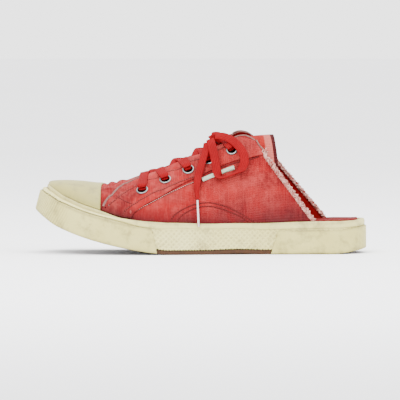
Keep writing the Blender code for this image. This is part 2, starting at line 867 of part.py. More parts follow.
def make_tongue(canvas):
    bm = bmesh.new()
    rows = []
    count = 12
    for k in range(count + 1):
        along = k / count
        x = TONGUE_START + (TONGUE_END - TONGUE_START) * along
        lower = INSTEP_HEIGHT * smooth_read(TONGUE_DROP, "along", "drop", along)
        row = []
        for side in ("outer", "inner"):
            step = step_at(side, x)
            base = arc_point(step, 0.0, lower)
            reach = abs(ridge_point(x)[1] - base[1])
            edge = math.acos(min(1.0, (TONGUE_WIDTH / 2 / reach)) ** (section_size("power", x) / 2)) * 2 / math.pi
            vs = np.linspace(edge, 1, 5)
            line = []
            for v in vs[:-1]:
                line.append(arc_point(step, v, lower) - (UPPER_WALL + GAP) * arc_normal(step, v, lower))
            top = ridge_point(x) - np.array([0, 0, lower + UPPER_WALL + GAP])
            row += line + [top] if side == "outer" else line[::-1]
        rows.append([bm.verts.new(world(p)) for p in row])
    grid_faces(bm, rows)
    return finish("tongue", bm, canvas, solidify=TONGUE_THICK)


def rise_point(side, x, rise, out):
    """A point outside the upper's face, by its distance from the toe and its share of the section's height."""
    return off_upper(side, x, v_at_rise(x, rise), out)


def make_eyestay(name, side, canvas, holes):
    bm = bmesh.new()
    rows = []
    out = CURVED_GAP + EYESTAY_THICK
    for share in np.linspace(0, 1, EYESTAY_STEPS + 1):
        edge_x, seam_x = (throat_x(smooth_read(EYESTAY, "share", key, share)) for key in ("edge_at", "seam_at"))
        edge, seam = (smooth_read(EYESTAY, "share", key, share) for key in ("edge", "seam"))
        if edge_x > VAMP_LENGTH:
            limit = throat_edge(side, edge_x)
            edge = max(edge, limit - 0.01) if side == "inner" else min(edge, limit)
        low = np.array([seam_x, v_at_rise(seam_x, seam)])
        high = np.array([edge_x, v_at_rise(edge_x, edge)])
        places = [low + (high - low) * k / 4 for k in range(5)]
        rows.append([bm.verts.new(world(off_upper(side, x, v, out))) for x, v in places])
    grid_faces(bm, rows)
    eyestay = finish(name, bm, canvas, solidify=EYESTAY_THICK)
    cut(eyestay, holes)
    return eyestay


def cut(obj, cutter):
    boolean = obj.modifiers.new("Holes", "BOOLEAN")
    boolean.operation = "DIFFERENCE"
    boolean.object = cutter
    boolean.solver = "EXACT"


def turned(bm, profile, centre, axis, sides=ROUND_SIDES):
    """A closed profile of (radius, height) corners turned round an axis through the centre."""
    axis = axis / np.linalg.norm(axis)
    across = np.cross(axis, (1.0, 0.0, 0.0))
    across /= np.linalg.norm(across)
    third = np.cross(axis, across)
    rows = []
    for k in range(sides):
        angle = 2 * math.pi * k / sides
        spoke = across * math.cos(angle) + third * math.sin(angle)
        rows.append([bm.verts.new(world(centre + spoke * r + axis * h)) for r, h in profile])
    return rows


def eyelet_places():
    for k, (along, rise) in enumerate(zip(EYELETS["along"], EYELETS["rise"]), 1):
        for side in SIDES:
            x = throat_x(along)
            v = v_at_rise(x, rise)
            step = step_at(side, x)
            yield k, side, arc_point(step, v), arc_normal(step, v)


def make_eyelet_holes():
    """The cutter for the eyelets' holes in the upper and the eyestays."""
    bm = bmesh.new()
    radius, reach = EYELET_BARREL + GAP, UPPER_WALL + 0.004
    for _, _, centre, normal in eyelet_places():
        rows = turned(bm, [(radius, -reach), (radius, reach)], centre, normal)
        grid_faces(bm, rows, closed_along=True, folded=False)
        bm.faces.new([row[0] for row in rows])
        bm.faces.new([row[1] for row in rows])
    cutter = finish("eyelet_holes", bm, material("cutter", (0.5, 0.5, 0.5), 0.5))
    cutter.hide_render = True
    cutter.display_type = "WIRE"
    return cutter


def make_eyelets(metal):
    seat = CURVED_GAP + EYESTAY_THICK + GAP
    foot = -UPPER_WALL - 0.0004
    profile = [
        (EYELET_HOLE, foot),
        (EYELET_BARREL, foot),
        (EYELET_BARREL, seat),
        (EYELET_OUTER, seat),
        (EYELET_OUTER - FLANGE_THICK * 0.5, seat + FLANGE_THICK),
        (EYELET_HOLE + FLANGE_THICK * 0.5, seat + FLANGE_THICK),
        (EYELET_HOLE, seat),
    ]
    for k, side, centre, normal in eyelet_places():
        bm = bmesh.new()
        grid_faces(bm, turned(bm, profile, centre, normal), closed_along=True, closed_across=True, folded=False)
        finish(f"eyelet_{side}_{k}", bm, metal)


def ribbon(name, centres, ups, cotton, width=LACE_WIDTH, thick=LACE_THICK):
    """A flat strip along these points, lying square to the ups."""
    bm = bmesh.new()
    centres, rows = np.array(centres), []
    ahead = np.vstack([centres[1:], 2 * centres[-1:] - centres[-2:-1]])
    behind = np.vstack([2 * centres[:1] - centres[1:2], centres[:-1]])
    for centre, up, way in zip(centres, ups, ahead - behind):
        across = np.cross(way, up)
        across *= width / 2 / np.linalg.norm(across)
        lift = np.cross(across, way)
        lift *= thick / 2 / np.linalg.norm(lift)
        corners = [centre + across * a + lift * b
                   for a, b in ((1, 0), (0.85, 1), (-0.85, 1), (-1, 0), (-0.85, -1), (0.85, -1))]
        rows.append([bm.verts.new(world(c)) for c in corners])
    grid_faces(bm, rows, closed_across=True, folded=False)
    bm.faces.new(rows[0])
    bm.faces.new(rows[-1])
    return finish(name, bm, cotton)


def tongue_point(side, x, share, out):
    """Outside the tongue's face. share runs from the ridge, 0, to the tongue's side edge, 1."""
    lower = tongue_lower(x)
    step = step_at(side, x)
    base = arc_point(step, 0.0, lower)
    reach = abs(ridge_point(x)[1] - base[1])
    width = TONGUE_WIDTH / 2 * share / reach
    v = math.acos(min(1.0, width) ** (section_size("power", x) / 2)) * 2 / math.pi
    normal = arc_normal(step, min(v, 0.98), lower)
    if share == 0:
        normal = np.array([0.0, 0.0, 1.0])
    return arc_point(step, v, lower) + (out - UPPER_WALL - GAP) * normal, normal


OVER_EYELET = CURVED_GAP + EYESTAY_THICK + GAP + FLANGE_THICK + GAP + LACE_THICK / 2


def over_edge(side, x_eyelet, rise, x_edge):
    """A lace's way from above an eyelet, flat over its flange, to the throat's edge: centres and ups."""
    step = step_at(side, x_eyelet)
    v = v_at_rise(x_eyelet, rise)
    normal = arc_normal(step, v)
    start = arc_point(step, v) + OVER_EYELET * normal
    edge_v = v_at_rise(x_edge, throat_edge(side, max(x_edge, throat_x(0.02))))
    edge_step = step_at(side, x_edge)
    edge_normal = arc_normal(edge_step, edge_v)
    edge = arc_point(edge_step, edge_v) + (OVER_EYELET + 0.0009) * edge_normal
    way = (edge - start) - normal * ((edge - start) @ normal)
    way /= np.linalg.norm(way)
    past = (edge - start) - edge_normal * ((edge - start) @ edge_normal)
    past *= 0.0025 / np.linalg.norm(past)
    return [(start, normal), (start + way * (EYELET_OUTER + 0.0012), normal), (edge, edge_normal),
            (edge + past, edge_normal)]


def make_lace(cotton):
    xs, rises = throat_x(EYELETS["along"]), EYELETS["rise"]
    # The bar at the lowest eyelets
    near = over_edge("outer", xs[0], rises[0], xs[0] + 0.001)
    far = over_edge("inner", xs[0], rises[0], xs[0] + 0.001)[::-1]
    middle_x = xs[0] + 0.0015
    middle = ridge_point(middle_x) + np.array([0, 0, OVER_EYELET - 0.0004])
    places = [*near, (middle, np.array([0.0, 0.0, 1.0])), *far]
    ribbon("lace_bar_1", *zip(*places), cotton)
    # Crossings, each from under one edge of the throat to the eyelet above on the other side
    for k in range(1, len(xs)):
        made = []
        for side in SIDES:
            x_edge = xs[k] - CROSSING_LEAN
            places = over_edge(side, xs[k], rises[k], x_edge)
            middle_x = (x_edge + xs[k - 1] + CROSSING_LEAN) / 2 + 0.0005 * SIDES[side]
            middle, normal = tongue_point(side, middle_x, 0.0, CROSSING_LIFT + 0.0005 * (k + SIDES[side]))
            past = places[-1][0]
            places += [(middle, normal), (middle + (middle - past) * 0.25, normal)]
            made.append(ribbon(f"lace_cross_{k + 1}" if side == "outer" else f"lace_under_{k + 1}",
                               *zip(*places), cotton))
        join = made[0].modifiers.new("Join", "BOOLEAN")
        join.operation = "UNION"
        join.object = made[1]
        join.solver = "EXACT"
        made[1].hide_render = True
        made[1].display_type = "WIRE"


def lace_route(rows):
    """Centres and ups of a lace that lies on the outer side."""
    centres, ups = [], []
    for along, rise, out in zip(rows["along"], rows["rise"], rows["out"]):
        x = throat_x(along)
        v = v_at_rise(x, rise)
        centres.append(off_upper("outer", x, v, out * MM))
        ups.append(arc_normal(step_at("outer", x), v))
    return centres, ups


def make_bow(cotton, plastic):
    knot_x = throat_x(KNOT_ALONG)
    low = ridge_point(knot_x)[2] - tongue_lower(knot_x) - UPPER_WALL + KNOT_LIFT
    bm = bmesh.new()
    bmesh.ops.create_icosphere(bm, subdivisions=2, radius=0.5)
    centre = world((knot_x, KNOT_SIDE, low + KNOT_SIZE[2] / 2))
    for vertex in bm.verts:
        vertex.co = [c + v * size for c, v, size in zip(centre, vertex.co, KNOT_SIZE)]
    finish("lace_knot", bm, cotton)
    ribbon("lace_loop", *lace_route(LACE_LOOP), cotton)
    ends, ups = lace_route(LACE_END)
    ribbon("lace_end", ends, ups, cotton, width=LACE_WIDTH * 0.9)
    # The aglet hangs from the lace's end over the foxing's rim
    x = throat_x(LACE_END["along"][-1])
    out = RIM_PROUD + CURVED_GAP + 2 * AGLET_RADIUS
    low = wall_point(step_at("outer", x), out, AGLET_LOW - TOE_SPRING * sole_size("lift", x))
    axis = low - ends[-1]
    reach = float(np.linalg.norm(axis))
    start = AGLET_START * reach
    profile = [(AGLET_RADIUS * 0.8, start), (AGLET_RADIUS, start + AGLET_RADIUS), (AGLET_RADIUS, reach)]
    bm = bmesh.new()
    rows = turned(bm, profile, ends[-1], axis, sides=8)
    grid_faces(bm, rows, closed_along=True, folded=False)
    bm.faces.new([row[0] for row in rows])
    bm.faces.new([row[-1] for row in rows])
    finish("aglet", bm, plastic)


def make_tape(tape):
    bm = bmesh.new()
    rows = []
    for along in np.linspace(TAPE["along"][0], TAPE["along"][-1], 6):
        x = throat_x(along)
        rise = smooth_read(TAPE, "along", "rise", along)
        height = ridge_point(x)[2] - base_point(step_at("outer", x))[2]
        rows.append([
            bm.verts.new(world(rise_point("outer", x, rise + offset * TAPE_WIDTH / height,
                                          CURVED_GAP + TAPE_THICK)))
            for offset in (-0.42, 0.42)
        ])
    grid_faces(bm, rows)
    finish("side_tape", bm, tape, solidify=TAPE_THICK)


def make_fray(name, side, thread):
    """Tufts along the cut, as one lumpy strip just behind the canvas's edge."""
    bm = bmesh.new()
    rows = []
    count = 20
    for k in range(count + 1):
        b = 0.06 + 0.86 * k / count
        x, v = quarter_place(side, 1.0, b)
        step = step_at(side, x)
        edge, normal = arc_point(step, v), arc_normal(step, v)
        below = arc_point(*locate(side, b - 0.03)), arc_point(*locate(side, b + 0.03))
        way = (below[1] - below[0]) / np.linalg.norm(below[1] - below[0])
        back = np.cross(way, normal)
        back *= 1 if back[0] > 0 else -1
        radius = FRAY_RADIUS * (0.75, 1.1, 0.9, 1.2)[k % 4]
        centre = edge + back * (FRAY_RADIUS * 1.2 + CURVED_GAP) - normal * UPPER_WALL * 0.4
        row = []
        for j in range(6):
            angle = math.pi * (j + 0.5 * (k % 2)) / 3
            row.append(bm.verts.new(world(centre + radius * (back * math.cos(angle) + normal * math.sin(angle)))))
        rows.append(row)
    grid_faces(bm, rows, closed_across=True, folded=False)
    bm.faces.new(rows[0])
    bm.faces.new(rows[-1])
    finish(name, bm, thread)


def locate(side, b):
    x, v = quarter_place(side, 1.0, b)
    return step_at(side, x), v


def main():
    for obj in list(bpy.data.objects):
        bpy.data.objects.remove(obj)
    cream = material("cream_rubber", (0.76, 0.72, 0.56), 0.6)
    brown = material("brown_rubber", (0.23, 0.13, 0.08), 0.7)
    foam = material("foam", (0.70, 0.64, 0.48), 0.8)
    canvas = material("red_canvas", (0.58, 0.08, 0.06), 0.9)
    lining = material("red_lining", (0.60, 0.03, 0.03), 0.9)
    make_outsole(brown)
    make_midsole(foam)
    make_insole(lining)
    make_foxing(cream)
    make_toe_bumper(cream)
    make_heel_patch(cream)
    make_toe_strip(cream)
    cotton = material("red_cotton", (0.72, 0.03, 0.02), 0.8)
    metal = material("silver_metal", (0.75, 0.76, 0.75), 0.3, 1.0)
    plastic = material("red_plastic", (0.72, 0.03, 0.03), 0.3)
    tape = material("pale_tape", (0.66, 0.70, 0.54), 0.8)
    thread = material("pale_thread", (0.72, 0.48, 0.40), 0.95)
    holes = make_eyelet_holes()
    cut(make_upper(canvas), holes)
    make_toe_cap(cream)
    make_tongue(canvas)
    make_eyestay("eyestay_lateral", "outer", canvas, holes)
    make_eyestay("eyestay_medial", "inner", canvas, holes)
    make_eyelets(metal)
    make_lace(cotton)
    make_bow(cotton, plastic)
    make_tape(tape)
    make_fray("fray_lateral", "outer", thread)
    make_fray("fray_medial", "inner", thread)


main()
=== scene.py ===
"""The looks of a low canvas sneaker with its heel cut away, worn as a mule: the left shoe.

Metres, +Z up. The toe points along -X and the outer side of the foot is -Y. "From the toe" means a
distance along +X from the toe's front end. Places on the sole's side are given by the run round it: 0 at
the toe's tip, negative on the outer side, positive on the inner side.
"""

import math
from functools import partial

import bmesh
import bpy
import numpy as np
from mathutils import Matrix, Vector

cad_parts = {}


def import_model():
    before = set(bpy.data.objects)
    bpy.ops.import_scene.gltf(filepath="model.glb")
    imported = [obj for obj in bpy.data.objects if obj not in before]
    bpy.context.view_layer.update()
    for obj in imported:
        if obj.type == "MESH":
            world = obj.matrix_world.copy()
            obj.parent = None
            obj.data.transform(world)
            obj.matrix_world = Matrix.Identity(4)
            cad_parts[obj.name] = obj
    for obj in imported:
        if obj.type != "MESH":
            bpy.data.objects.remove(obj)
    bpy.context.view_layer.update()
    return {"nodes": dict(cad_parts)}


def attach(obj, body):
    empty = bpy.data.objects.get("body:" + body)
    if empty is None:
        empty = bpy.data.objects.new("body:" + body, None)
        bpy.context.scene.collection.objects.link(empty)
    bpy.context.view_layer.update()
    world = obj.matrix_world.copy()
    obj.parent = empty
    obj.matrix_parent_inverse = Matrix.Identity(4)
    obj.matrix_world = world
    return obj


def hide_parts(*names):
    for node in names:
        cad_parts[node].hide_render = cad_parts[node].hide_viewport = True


MM = 0.001

# The shoe's sizes, as in its model
LENGTH = 0.290
BALL_WIDTH = 0.104
TOE_SHIFT = 0.008
TOE_ROUND = {"outer": 0.075, "inner": 0.045}
HEEL_ROUND = 0.036
TOE_SPRING = 0.040
FOXING_HEIGHT = 0.027
FOXING_WALL = 0.003
RIM_HEIGHT = 0.0046
TOE_LEAN = 0.0050
OUTSOLE_THICK = 0.0033
BED_DEPTH = 0.0125
INSOLE_THICK = 0.0042
BUMPER_THICK = 0.0020
BUMPER_LENGTH = 0.102
BUMPER_SLANT = 0.005
PATCH_THICK = 0.0016
PATCH_HEIGHT = 0.0205
PATCH_START = 0.213
PATCH_SLANT = 0.007
STRIP_THICK = 0.0016
STRIP_SHOWS = 0.0033
STRIP_LENGTH = 0.080
CAP_THICK = 0.0012
CAP_LENGTH = 0.057
UPPER_WALL = 0.0018
VAMP_LENGTH = 0.095
QUARTER_END = 0.193
INSTEP_HEIGHT = 0.113
RIDGE_SHIFT = 0.005
TOE_FAN = 0.050
CUT_FOOT = {"outer": 0.244, "inner": 0.256}
TONGUE_START = 0.076
TONGUE_END = 0.2095
TONGUE_WIDTH = 0.058
TONGUE_THICK = 0.0025
LACE_WIDTH = 0.0075
LACE_THICK = 0.0017
GAP = 0.0003

SIDES = {"outer": -1, "inner": 1}


def table(text):
    """Rows of numbers under a line of column names."""
    lines = [line.split() for line in text.strip().splitlines()]
    return {name: np.array([float(row[k]) for row in lines[1:]]) for k, name in enumerate(lines[0])}


# Shares of the sizes above, at shares of the length
SOLE = table("""
at     outer  inner  lift   wall   rim    lean   bed
0.000  0.500  0.442  1.000  0.690  0.43   1.00   0.36
0.014  0.500  0.442  0.895  0.725  0.43   1.00   0.45
0.034  0.500  0.447  0.775  0.800  0.43   0.95   0.56
0.066  0.500  0.452  0.612  0.870  0.43   0.80   0.70
0.097  0.500  0.457  0.508  0.905  0.43   0.64   0.80
0.141  0.500  0.462  0.385  0.911  0.43   0.48   0.87
0.197  0.505  0.466  0.262  0.922  0.43   0.36   0.92
0.259  0.514  0.471  0.155  0.955  0.70   0.28   0.97
0.328  0.519  0.457  0.060  0.996  1.20   0.24   1.00
0.370  0.516  0.440  0.022  1.020  1.26   0.22   1.00
0.407  0.508  0.423  0.000  1.028  1.05   0.20   1.00
0.510  0.462  0.372  0.000  0.996  1.00   0.18   0.82
0.610  0.416  0.340  0.020  0.974  1.00   0.16   0.52
0.710  0.385  0.332  0.000  1.007  1.32   0.12   0.22
0.810  0.366  0.338  0.000  1.044  1.35   0.08   0.05
0.905  0.356  0.341  0.000  1.058  1.34   0.04  -0.02
0.966  0.351  0.341  0.055  0.989  1.26   0.02  -0.02
1.000  0.346  0.337  0.112  0.948  1.22   0.02  -0.02
""")
SECTIONS = table("""
at     ridge  power  side
0.000  0.530  2.30   1.30
0.095  0.544  2.30   1.20
0.141  0.538  2.30   1.10
0.197  0.524  2.25   1.00
0.262  0.552  2.15   1.00
0.328  0.598  2.00   0.90
0.362  0.634  1.90   0.80
0.400  0.678  1.80   0.70
0.466  0.775  1.66   0.60
0.500  0.812  1.64   0.50
0.552  0.882  1.68   0.40
0.593  0.942  1.76   0.30
0.631  0.978  1.84   0.20
0.672  0.996  1.95   0.10
0.707  1.000  2.05   0.00
0.900  1.000  2.20   0.00
""")
# The throat's and the collar's edge: shares of the height, at shares of the way from the vamp to the cut.
# The inner side's lies lower than in the model, because the photograph shows none of it past the outer's.
TOP_EDGE = table("""
along  outer  inner
0.000  1.000  1.000
0.020  0.990  0.992
0.051  0.981  0.970
0.102  0.971  0.965
0.255  0.953  0.942
0.408  0.925  0.930
0.561  0.913  0.925
0.724  0.903  0.942
0.827  0.916  0.964
0.908  0.902  0.935
1.000  0.840  0.851
""")
# The heel's cut: how far back it lies at shares of the height, 1 at its foot and 0 at its top
CUT_EDGE = table("""
rise   outer  inner
0.000  1.000  1.000
0.200  0.757  0.778
0.400  0.514  0.552
0.600  0.270  0.325
0.660  0.196  0.258
0.740  0.141  0.175
0.790  0.067  0.087
0.860  0.000  0.000
""")
# How far the tongue lies under the upper's ridge, in shares of the instep's height
TONGUE_DROP = table("""
along  drop
0.00   0.000
0.45   0.012
0.70   0.040
0.88   0.074
1.00   0.066
""")


def unit(vectors):
    return vectors / np.linalg.norm(vectors, axis=-1, keepdims=True)


def run_along(points):
    """The way covered at each of these points, from the first."""
    return np.concatenate([[0], np.cumsum(np.linalg.norm(np.diff(points, axis=0), axis=1))])


def read(columns, key, name, at):
    """A column read between its rows, along a curve that doesn't overshoot them."""
    xs, ys = columns[key], columns[name]
    steps = np.diff(ys) / np.diff(xs)
    before, after = steps[:-1], steps[1:]
    level = before * after <= 0
    inner = np.where(level, 0.0, 2 * before * after / np.where(level, 1.0, before + after))
    slopes = np.concatenate([steps[:1], inner, steps[-1:]])
    at = np.clip(np.asarray(at, float), xs[0], xs[-1])
    k = np.clip(np.searchsorted(xs, at, side="right") - 1, 0, len(xs) - 2)
    span = xs[k + 1] - xs[k]
    t = (at - xs[k]) / span
    return (
        ys[k] * (1 + 2 * t) * (1 - t) ** 2
        + span * slopes[k] * t * (1 - t) ** 2
        + ys[k + 1] * t * t * (3 - 2 * t)
        + span * slopes[k + 1] * t * t * (t - 1)
    )


def sole_size(name, x):
    return read(SOLE, "at", name, np.asarray(x) / LENGTH)


def section_size(name, x):
    return read(SECTIONS, "at", name, np.asarray(x) / LENGTH)


FOXING_FRONT = BUMPER_THICK + GAP
FOXING_BACK = LENGTH - PATCH_THICK - GAP


def half_width(side, x):
    free = SIDES[side] * BALL_WIDTH * sole_size(side, x)
    toe = np.maximum(0.0, 1 - (x - FOXING_FRONT) / TOE_ROUND[side])
    heel = np.maximum(0.0, 1 - (FOXING_BACK - x) / HEEL_ROUND)
    toe_share = np.maximum(0.0, 1 - toe**2.2) ** (1 / 2.2)
    heel_share = np.maximum(0.0, 1 - heel**2.3) ** (1 / 2.3)
    return (TOE_SHIFT + (free - TOE_SHIFT) * toe_share) * heel_share


def outline(side):
    """One side of the foxing's outline: the run from the toe's tip, and the points."""
    x = FOXING_FRONT + (FOXING_BACK - FOXING_FRONT) * (1 - np.cos(np.linspace(0, math.pi, 2401))) / 2
    points = np.stack([x, half_width(side, x)], axis=1)
    run = run_along(points)
    even = np.linspace(0, run[-1], 500)
    return even, np.stack([np.interp(even, run, points[:, k]) for k in (0, 1)], axis=1)


OUTER_RUN, OUTER_POINTS = outline("outer")
INNER_RUN, INNER_POINTS = outline("inner")
RUN = np.concatenate([-OUTER_RUN[::-1], INNER_RUN[1:]])
RING = np.vstack([OUTER_POINTS[::-1], INNER_POINTS[1:]])
WAY = np.gradient(RING, RUN, axis=0)
WAY[0] = WAY[-1] = (0.0, -1.0)
WAY = unit(WAY)
AXIS_Y = (np.abs(OUTER_POINTS[:, 1]).max() - INNER_POINTS[:, 1].max()) / 2


def round_heel(run):
    """A run that passes the heel's tip goes on along the other side."""
    return (np.asarray(run, float) - RUN[0]) % (RUN[-1] - RUN[0] + 1e-9) + RUN[0]


def ring_x(run):
    return np.interp(round_heel(run), RUN, RING[:, 0])


def run_at(side, x):
    if side == "outer":
        return -np.interp(x, OUTER_POINTS[:, 0], OUTER_RUN)
    return np.interp(x, INNER_POINTS[:, 0], INNER_RUN)


def wall_height(x):
    return FOXING_HEIGHT * sole_size("wall", x)


def rim_height(x):
    return RIM_HEIGHT * sole_size("rim", x)


def bed_height(x):
    return wall_height(x) - BED_DEPTH * sole_size("bed", x)


def wall_point(run, out, height):
    """A point on the sole's side: out from the foxing's face, height above the sole's underside."""
    run, out, height = np.broadcast_arrays(round_heel(run), out, height)
    x = ring_x(run)
    y = np.interp(run, RUN, RING[:, 1])
    lean = TOE_LEAN * sole_size("lean", x) * height / wall_height(x)
    way = unit(np.stack([np.interp(run, RUN, WAY[:, k]) for k in (0, 1)], axis=-1))
    return np.stack([
        x - way[..., 1] * (out - lean),
        y + way[..., 0] * (out - lean),
        TOE_SPRING * sole_size("lift", x) + height,
    ], axis=-1)


def fade(x, start, stop):
    """1 before start, 0 after stop, smooth between."""
    t = np.clip((np.asarray(x, float) - start) / (stop - start), 0.0, 1.0)
    return 1 - t * t * (3 - 2 * t)


def upper_out(x):
    return -(FOXING_WALL + GAP) - (STRIP_THICK + GAP) * fade(x, STRIP_LENGTH + 0.004, STRIP_LENGTH + 0.018)


def strip_top(x):
    return STRIP_SHOWS * fade(x, STRIP_LENGTH - 0.030, STRIP_LENGTH)


def ridge_point(x):
    x = np.asarray(x, float)
    y = RIDGE_SHIFT * section_size("side", x)
    return np.stack([x, y, INSTEP_HEIGHT * section_size("ridge", x)], axis=-1)


def base_point(run):
    x = ring_x(run)
    return wall_point(run, upper_out(x), wall_height(x) + strip_top(x))


def arc_point(run, v, lower=0.0):
    """The upper's outer face: v runs from 0 at the foxing to 1 at the ridge."""
    run, v, lower = np.broadcast_arrays(np.asarray(run, float), v, lower)
    base = base_point(run)
    x = np.where(base[..., 0] > TOE_FAN, base[..., 0], TOE_FAN - (TOE_FAN - base[..., 0]) * 0.55)
    ridge = ridge_point(x)
    power = section_size("power", x)
    angle = np.clip(v, 0.0, 1.0) * math.pi / 2
    inward = 1 - np.maximum(np.cos(angle), 0.0) ** (2 / power)
    upward = np.sin(angle) ** (2 / power)
    return np.stack([
        base[..., 0] + (ridge[..., 0] - base[..., 0]) * inward,
        base[..., 1] + (ridge[..., 1] - base[..., 1]) * inward,
        base[..., 2] + (ridge[..., 2] - lower - base[..., 2]) * upward,
    ], axis=-1)


def arc_normal(run, v, lower=0.0):
    v = np.clip(v, 0.01, 0.985)
    run = np.asarray(run, float)
    along = arc_point(run + 0.6 * MM, v, lower) - arc_point(run - 0.6 * MM, v, lower)
    up = arc_point(run, v + 0.01, lower) - arc_point(run, v - 0.01, lower)
    return unit(np.cross(up, along))


def v_at_rise(x, rise):
    return np.arcsin(np.clip(rise, 0.0, 1.0) ** (section_size("power", x) / 2)) * 2 / math.pi


def world(points):
    return np.asarray(points) + np.array([-LENGTH / 2, AXIS_Y, 0.0])


def throat_x(along):
    """The distance from the toe of a place along the throat."""
    return VAMP_LENGTH + (QUARTER_END - VAMP_LENGTH) * np.asarray(along, float)


def tongue_lower(x):
    """How far the tongue's ridge lies below the upper's."""
    along = (x - TONGUE_START) / (TONGUE_END - TONGUE_START)
    return INSTEP_HEIGHT * read(TONGUE_DROP, "along", "drop", along)


def cut_at(side, rise):
    return QUARTER_END + (CUT_FOOT[side] - QUARTER_END) * read(CUT_EDGE, "rise", side, rise)


def quarter_place(side, a, b):
    """Where a point of the quarter lies, as a distance from the toe and a v. a runs from the throat's front
    to the cut, b from the foxing to the throat's edge, the collar and the cut's top."""
    a, b = np.broadcast_arrays(np.asarray(a, float), b)
    foot = CUT_FOOT[side]
    corner_rise = float(read(TOP_EDGE, "along", side, 1.0))
    corner_v = float(v_at_rise(QUARTER_END, corner_rise))
    along = a**1.2
    top_x = throat_x(along)
    top_v = v_at_rise(top_x, read(TOP_EDGE, "along", side, along))
    rear_x = cut_at(side, corner_rise * b)
    rear_v = v_at_rise(rear_x, corner_rise * b)
    x = (1 - b) * (VAMP_LENGTH + (foot - VAMP_LENGTH) * a) + b * top_x + (1 - a) * VAMP_LENGTH + a * rear_x
    x = x - ((1 - a) * VAMP_LENGTH + a * (1 - b) * foot + a * b * QUARTER_END)
    v = b * top_v + (1 - a) * b + a * rear_v - ((1 - a) * b + a * b * corner_v)
    return x, v


# The canvas's creases, placed from the photograph. side: -1 outer, 1 inner, 0 both. x1 v1, x2 v2:
# their ends, millimetres from the toe and shares of the way up the section. wide, high: millimetres, high
# below 0 for a trough.
CREASES = table("""
side  x1     v1    x2     v2    wide  high
 0    59.5   1.00  62.0   0.62  1.8   0.9
 0    62.5   1.00  64.0   0.66  1.3  -0.9
 0    66.5   1.00  65.5   0.62  2.0   1.1
 0    71.5   1.00  68.0   0.66  1.7  -1.0
 0    76.0   1.00  72.0   0.74  2.2   0.8
 0    81.0   1.00  77.0   0.80  1.8  -0.5
-1    60.0   0.55  66.0   0.20  2.4   0.6
-1    64.0   0.52  72.0   0.22  1.8  -0.6
-1    74.0   0.52  88.0   0.36  2.6  -0.8
-1    78.0   0.66  92.0   0.52  2.6   0.7
-1    72.0   0.36  80.0   0.14  2.8   0.7
-1    86.0   0.30  97.0   0.10  3.4  -0.6
-1    100.0  0.52  106.0  0.10  3.2   0.5
-1    112.0  0.46  116.0  0.12  3.4  -0.5
-1    121.0  0.50  123.0  0.22  4.0   0.4
-1    104.0  0.66  112.0  0.60  2.0  -0.4
-1    125.0  0.66  133.0  0.60  2.0  -0.4
-1    150.0  0.46  176.0  0.34  6.0   0.7
-1    146.0  0.34  168.0  0.26  5.0  -0.5
-1    184.0  0.52  196.0  0.20  6.0   0.6
-1    200.0  0.52  212.0  0.16  5.0  -0.5
-1    178.0  0.80  192.0  0.62  4.0   0.5
 1    60.0   0.55  67.0   0.20  2.4   0.6
 1    66.0   0.52  74.0   0.22  1.8  -0.6
 1    76.0   0.52  90.0   0.36  2.6  -0.8
 1    82.0   0.64  95.0   0.50  2.6   0.7
 1    104.0  0.50  110.0  0.12  3.4   0.5
 1    150.0  0.46  178.0  0.32  6.0   0.7
 1    190.0  0.52  202.0  0.20  6.0  -0.5
""")
CREASE_RISE = 0.078  # the length that the way up the section is taken to have
SWELL = 0.25 * MM  # of the slack canvas between the creases


def relief(run, v):
    """How far the canvas stands off its plain section."""
    run, v = np.broadcast_arrays(np.asarray(run, float), v)
    place = np.stack([ring_x(run), v * CREASE_RISE], axis=-1)
    side = np.where(run < 0, -1, 1)
    total = SWELL * np.sin(place[..., 0] * 190 + v * 7) * np.sin(v * 9 + place[..., 0] * 70) * (1 - v**4)
    for which, x1, v1, x2, v2, wide, high in zip(*(CREASES[key] for key in CREASES)):
        first, second = np.array([x1 * MM, v1 * CREASE_RISE]), np.array([x2 * MM, v2 * CREASE_RISE])
        way = second - first
        share = np.clip(((place - first) @ way) / (way @ way), 0, 1)
        off = np.linalg.norm(place - first - share[..., None] * way, axis=-1)
        bend = np.exp(-((off / (wide * MM)) ** 2))
        total = total + np.where((which == 0) | (side == which), high * MM * bend, 0.0)
    return total * np.clip(v * 12, 0, 1)


# Helpers for pieces


def displaced(run, v, out):
    """A point this far outside the canvas, creases included."""
    return arc_point(run, v) + (out + relief(run, v))[..., None] * arc_normal(run, v)


def linear(code):
    """An sRGB hex colour as Blender's linear RGBA."""
    channels = [int(code[k : k + 2], 16) / 255 for k in (1, 3, 5)]
    return tuple(c / 12.92 if c <= 0.04045 else ((c + 0.055) / 1.055) ** 2.4 for c in channels) + (1.0,)


def finish(name, bm, finishes, stands_for=(), wall=0.0, lining=False, merge=0.01 * MM, up=False):
    """The bmesh as a piece that rides on the shoe. finishes: one material or a list. wall: an open
    sheet's thickness, inwards. lining: the inside and the cut edge have materials of their own. up: the
    sheet's highest face looks up."""
    if merge:
        bmesh.ops.remove_doubles(bm, verts=bm.verts, dist=merge)
    bmesh.ops.recalc_face_normals(bm, faces=bm.faces)
    if up and max(bm.faces, key=lambda f: f.calc_center_median().z).normal.z < 0:
        bmesh.ops.reverse_faces(bm, faces=bm.faces)
    mesh = bpy.data.meshes.new(name)
    bm.to_mesh(mesh)
    bm.free()
    for made in finishes if isinstance(finishes, list) else [finishes]:
        mesh.materials.append(made)
    mesh.shade_smooth()
    piece = bpy.data.objects.new(name, mesh)
    bpy.context.scene.collection.objects.link(piece)
    if wall:
        solid = piece.modifiers.new("Wall", "SOLIDIFY")
        solid.thickness = wall
        solid.offset = -1
        solid.use_even_offset = not lining
        if lining:
            solid.material_offset = 1
            solid.material_offset_rim = 2
    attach(piece, "root")
    if stands_for:
        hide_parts(*stands_for)
    return piece


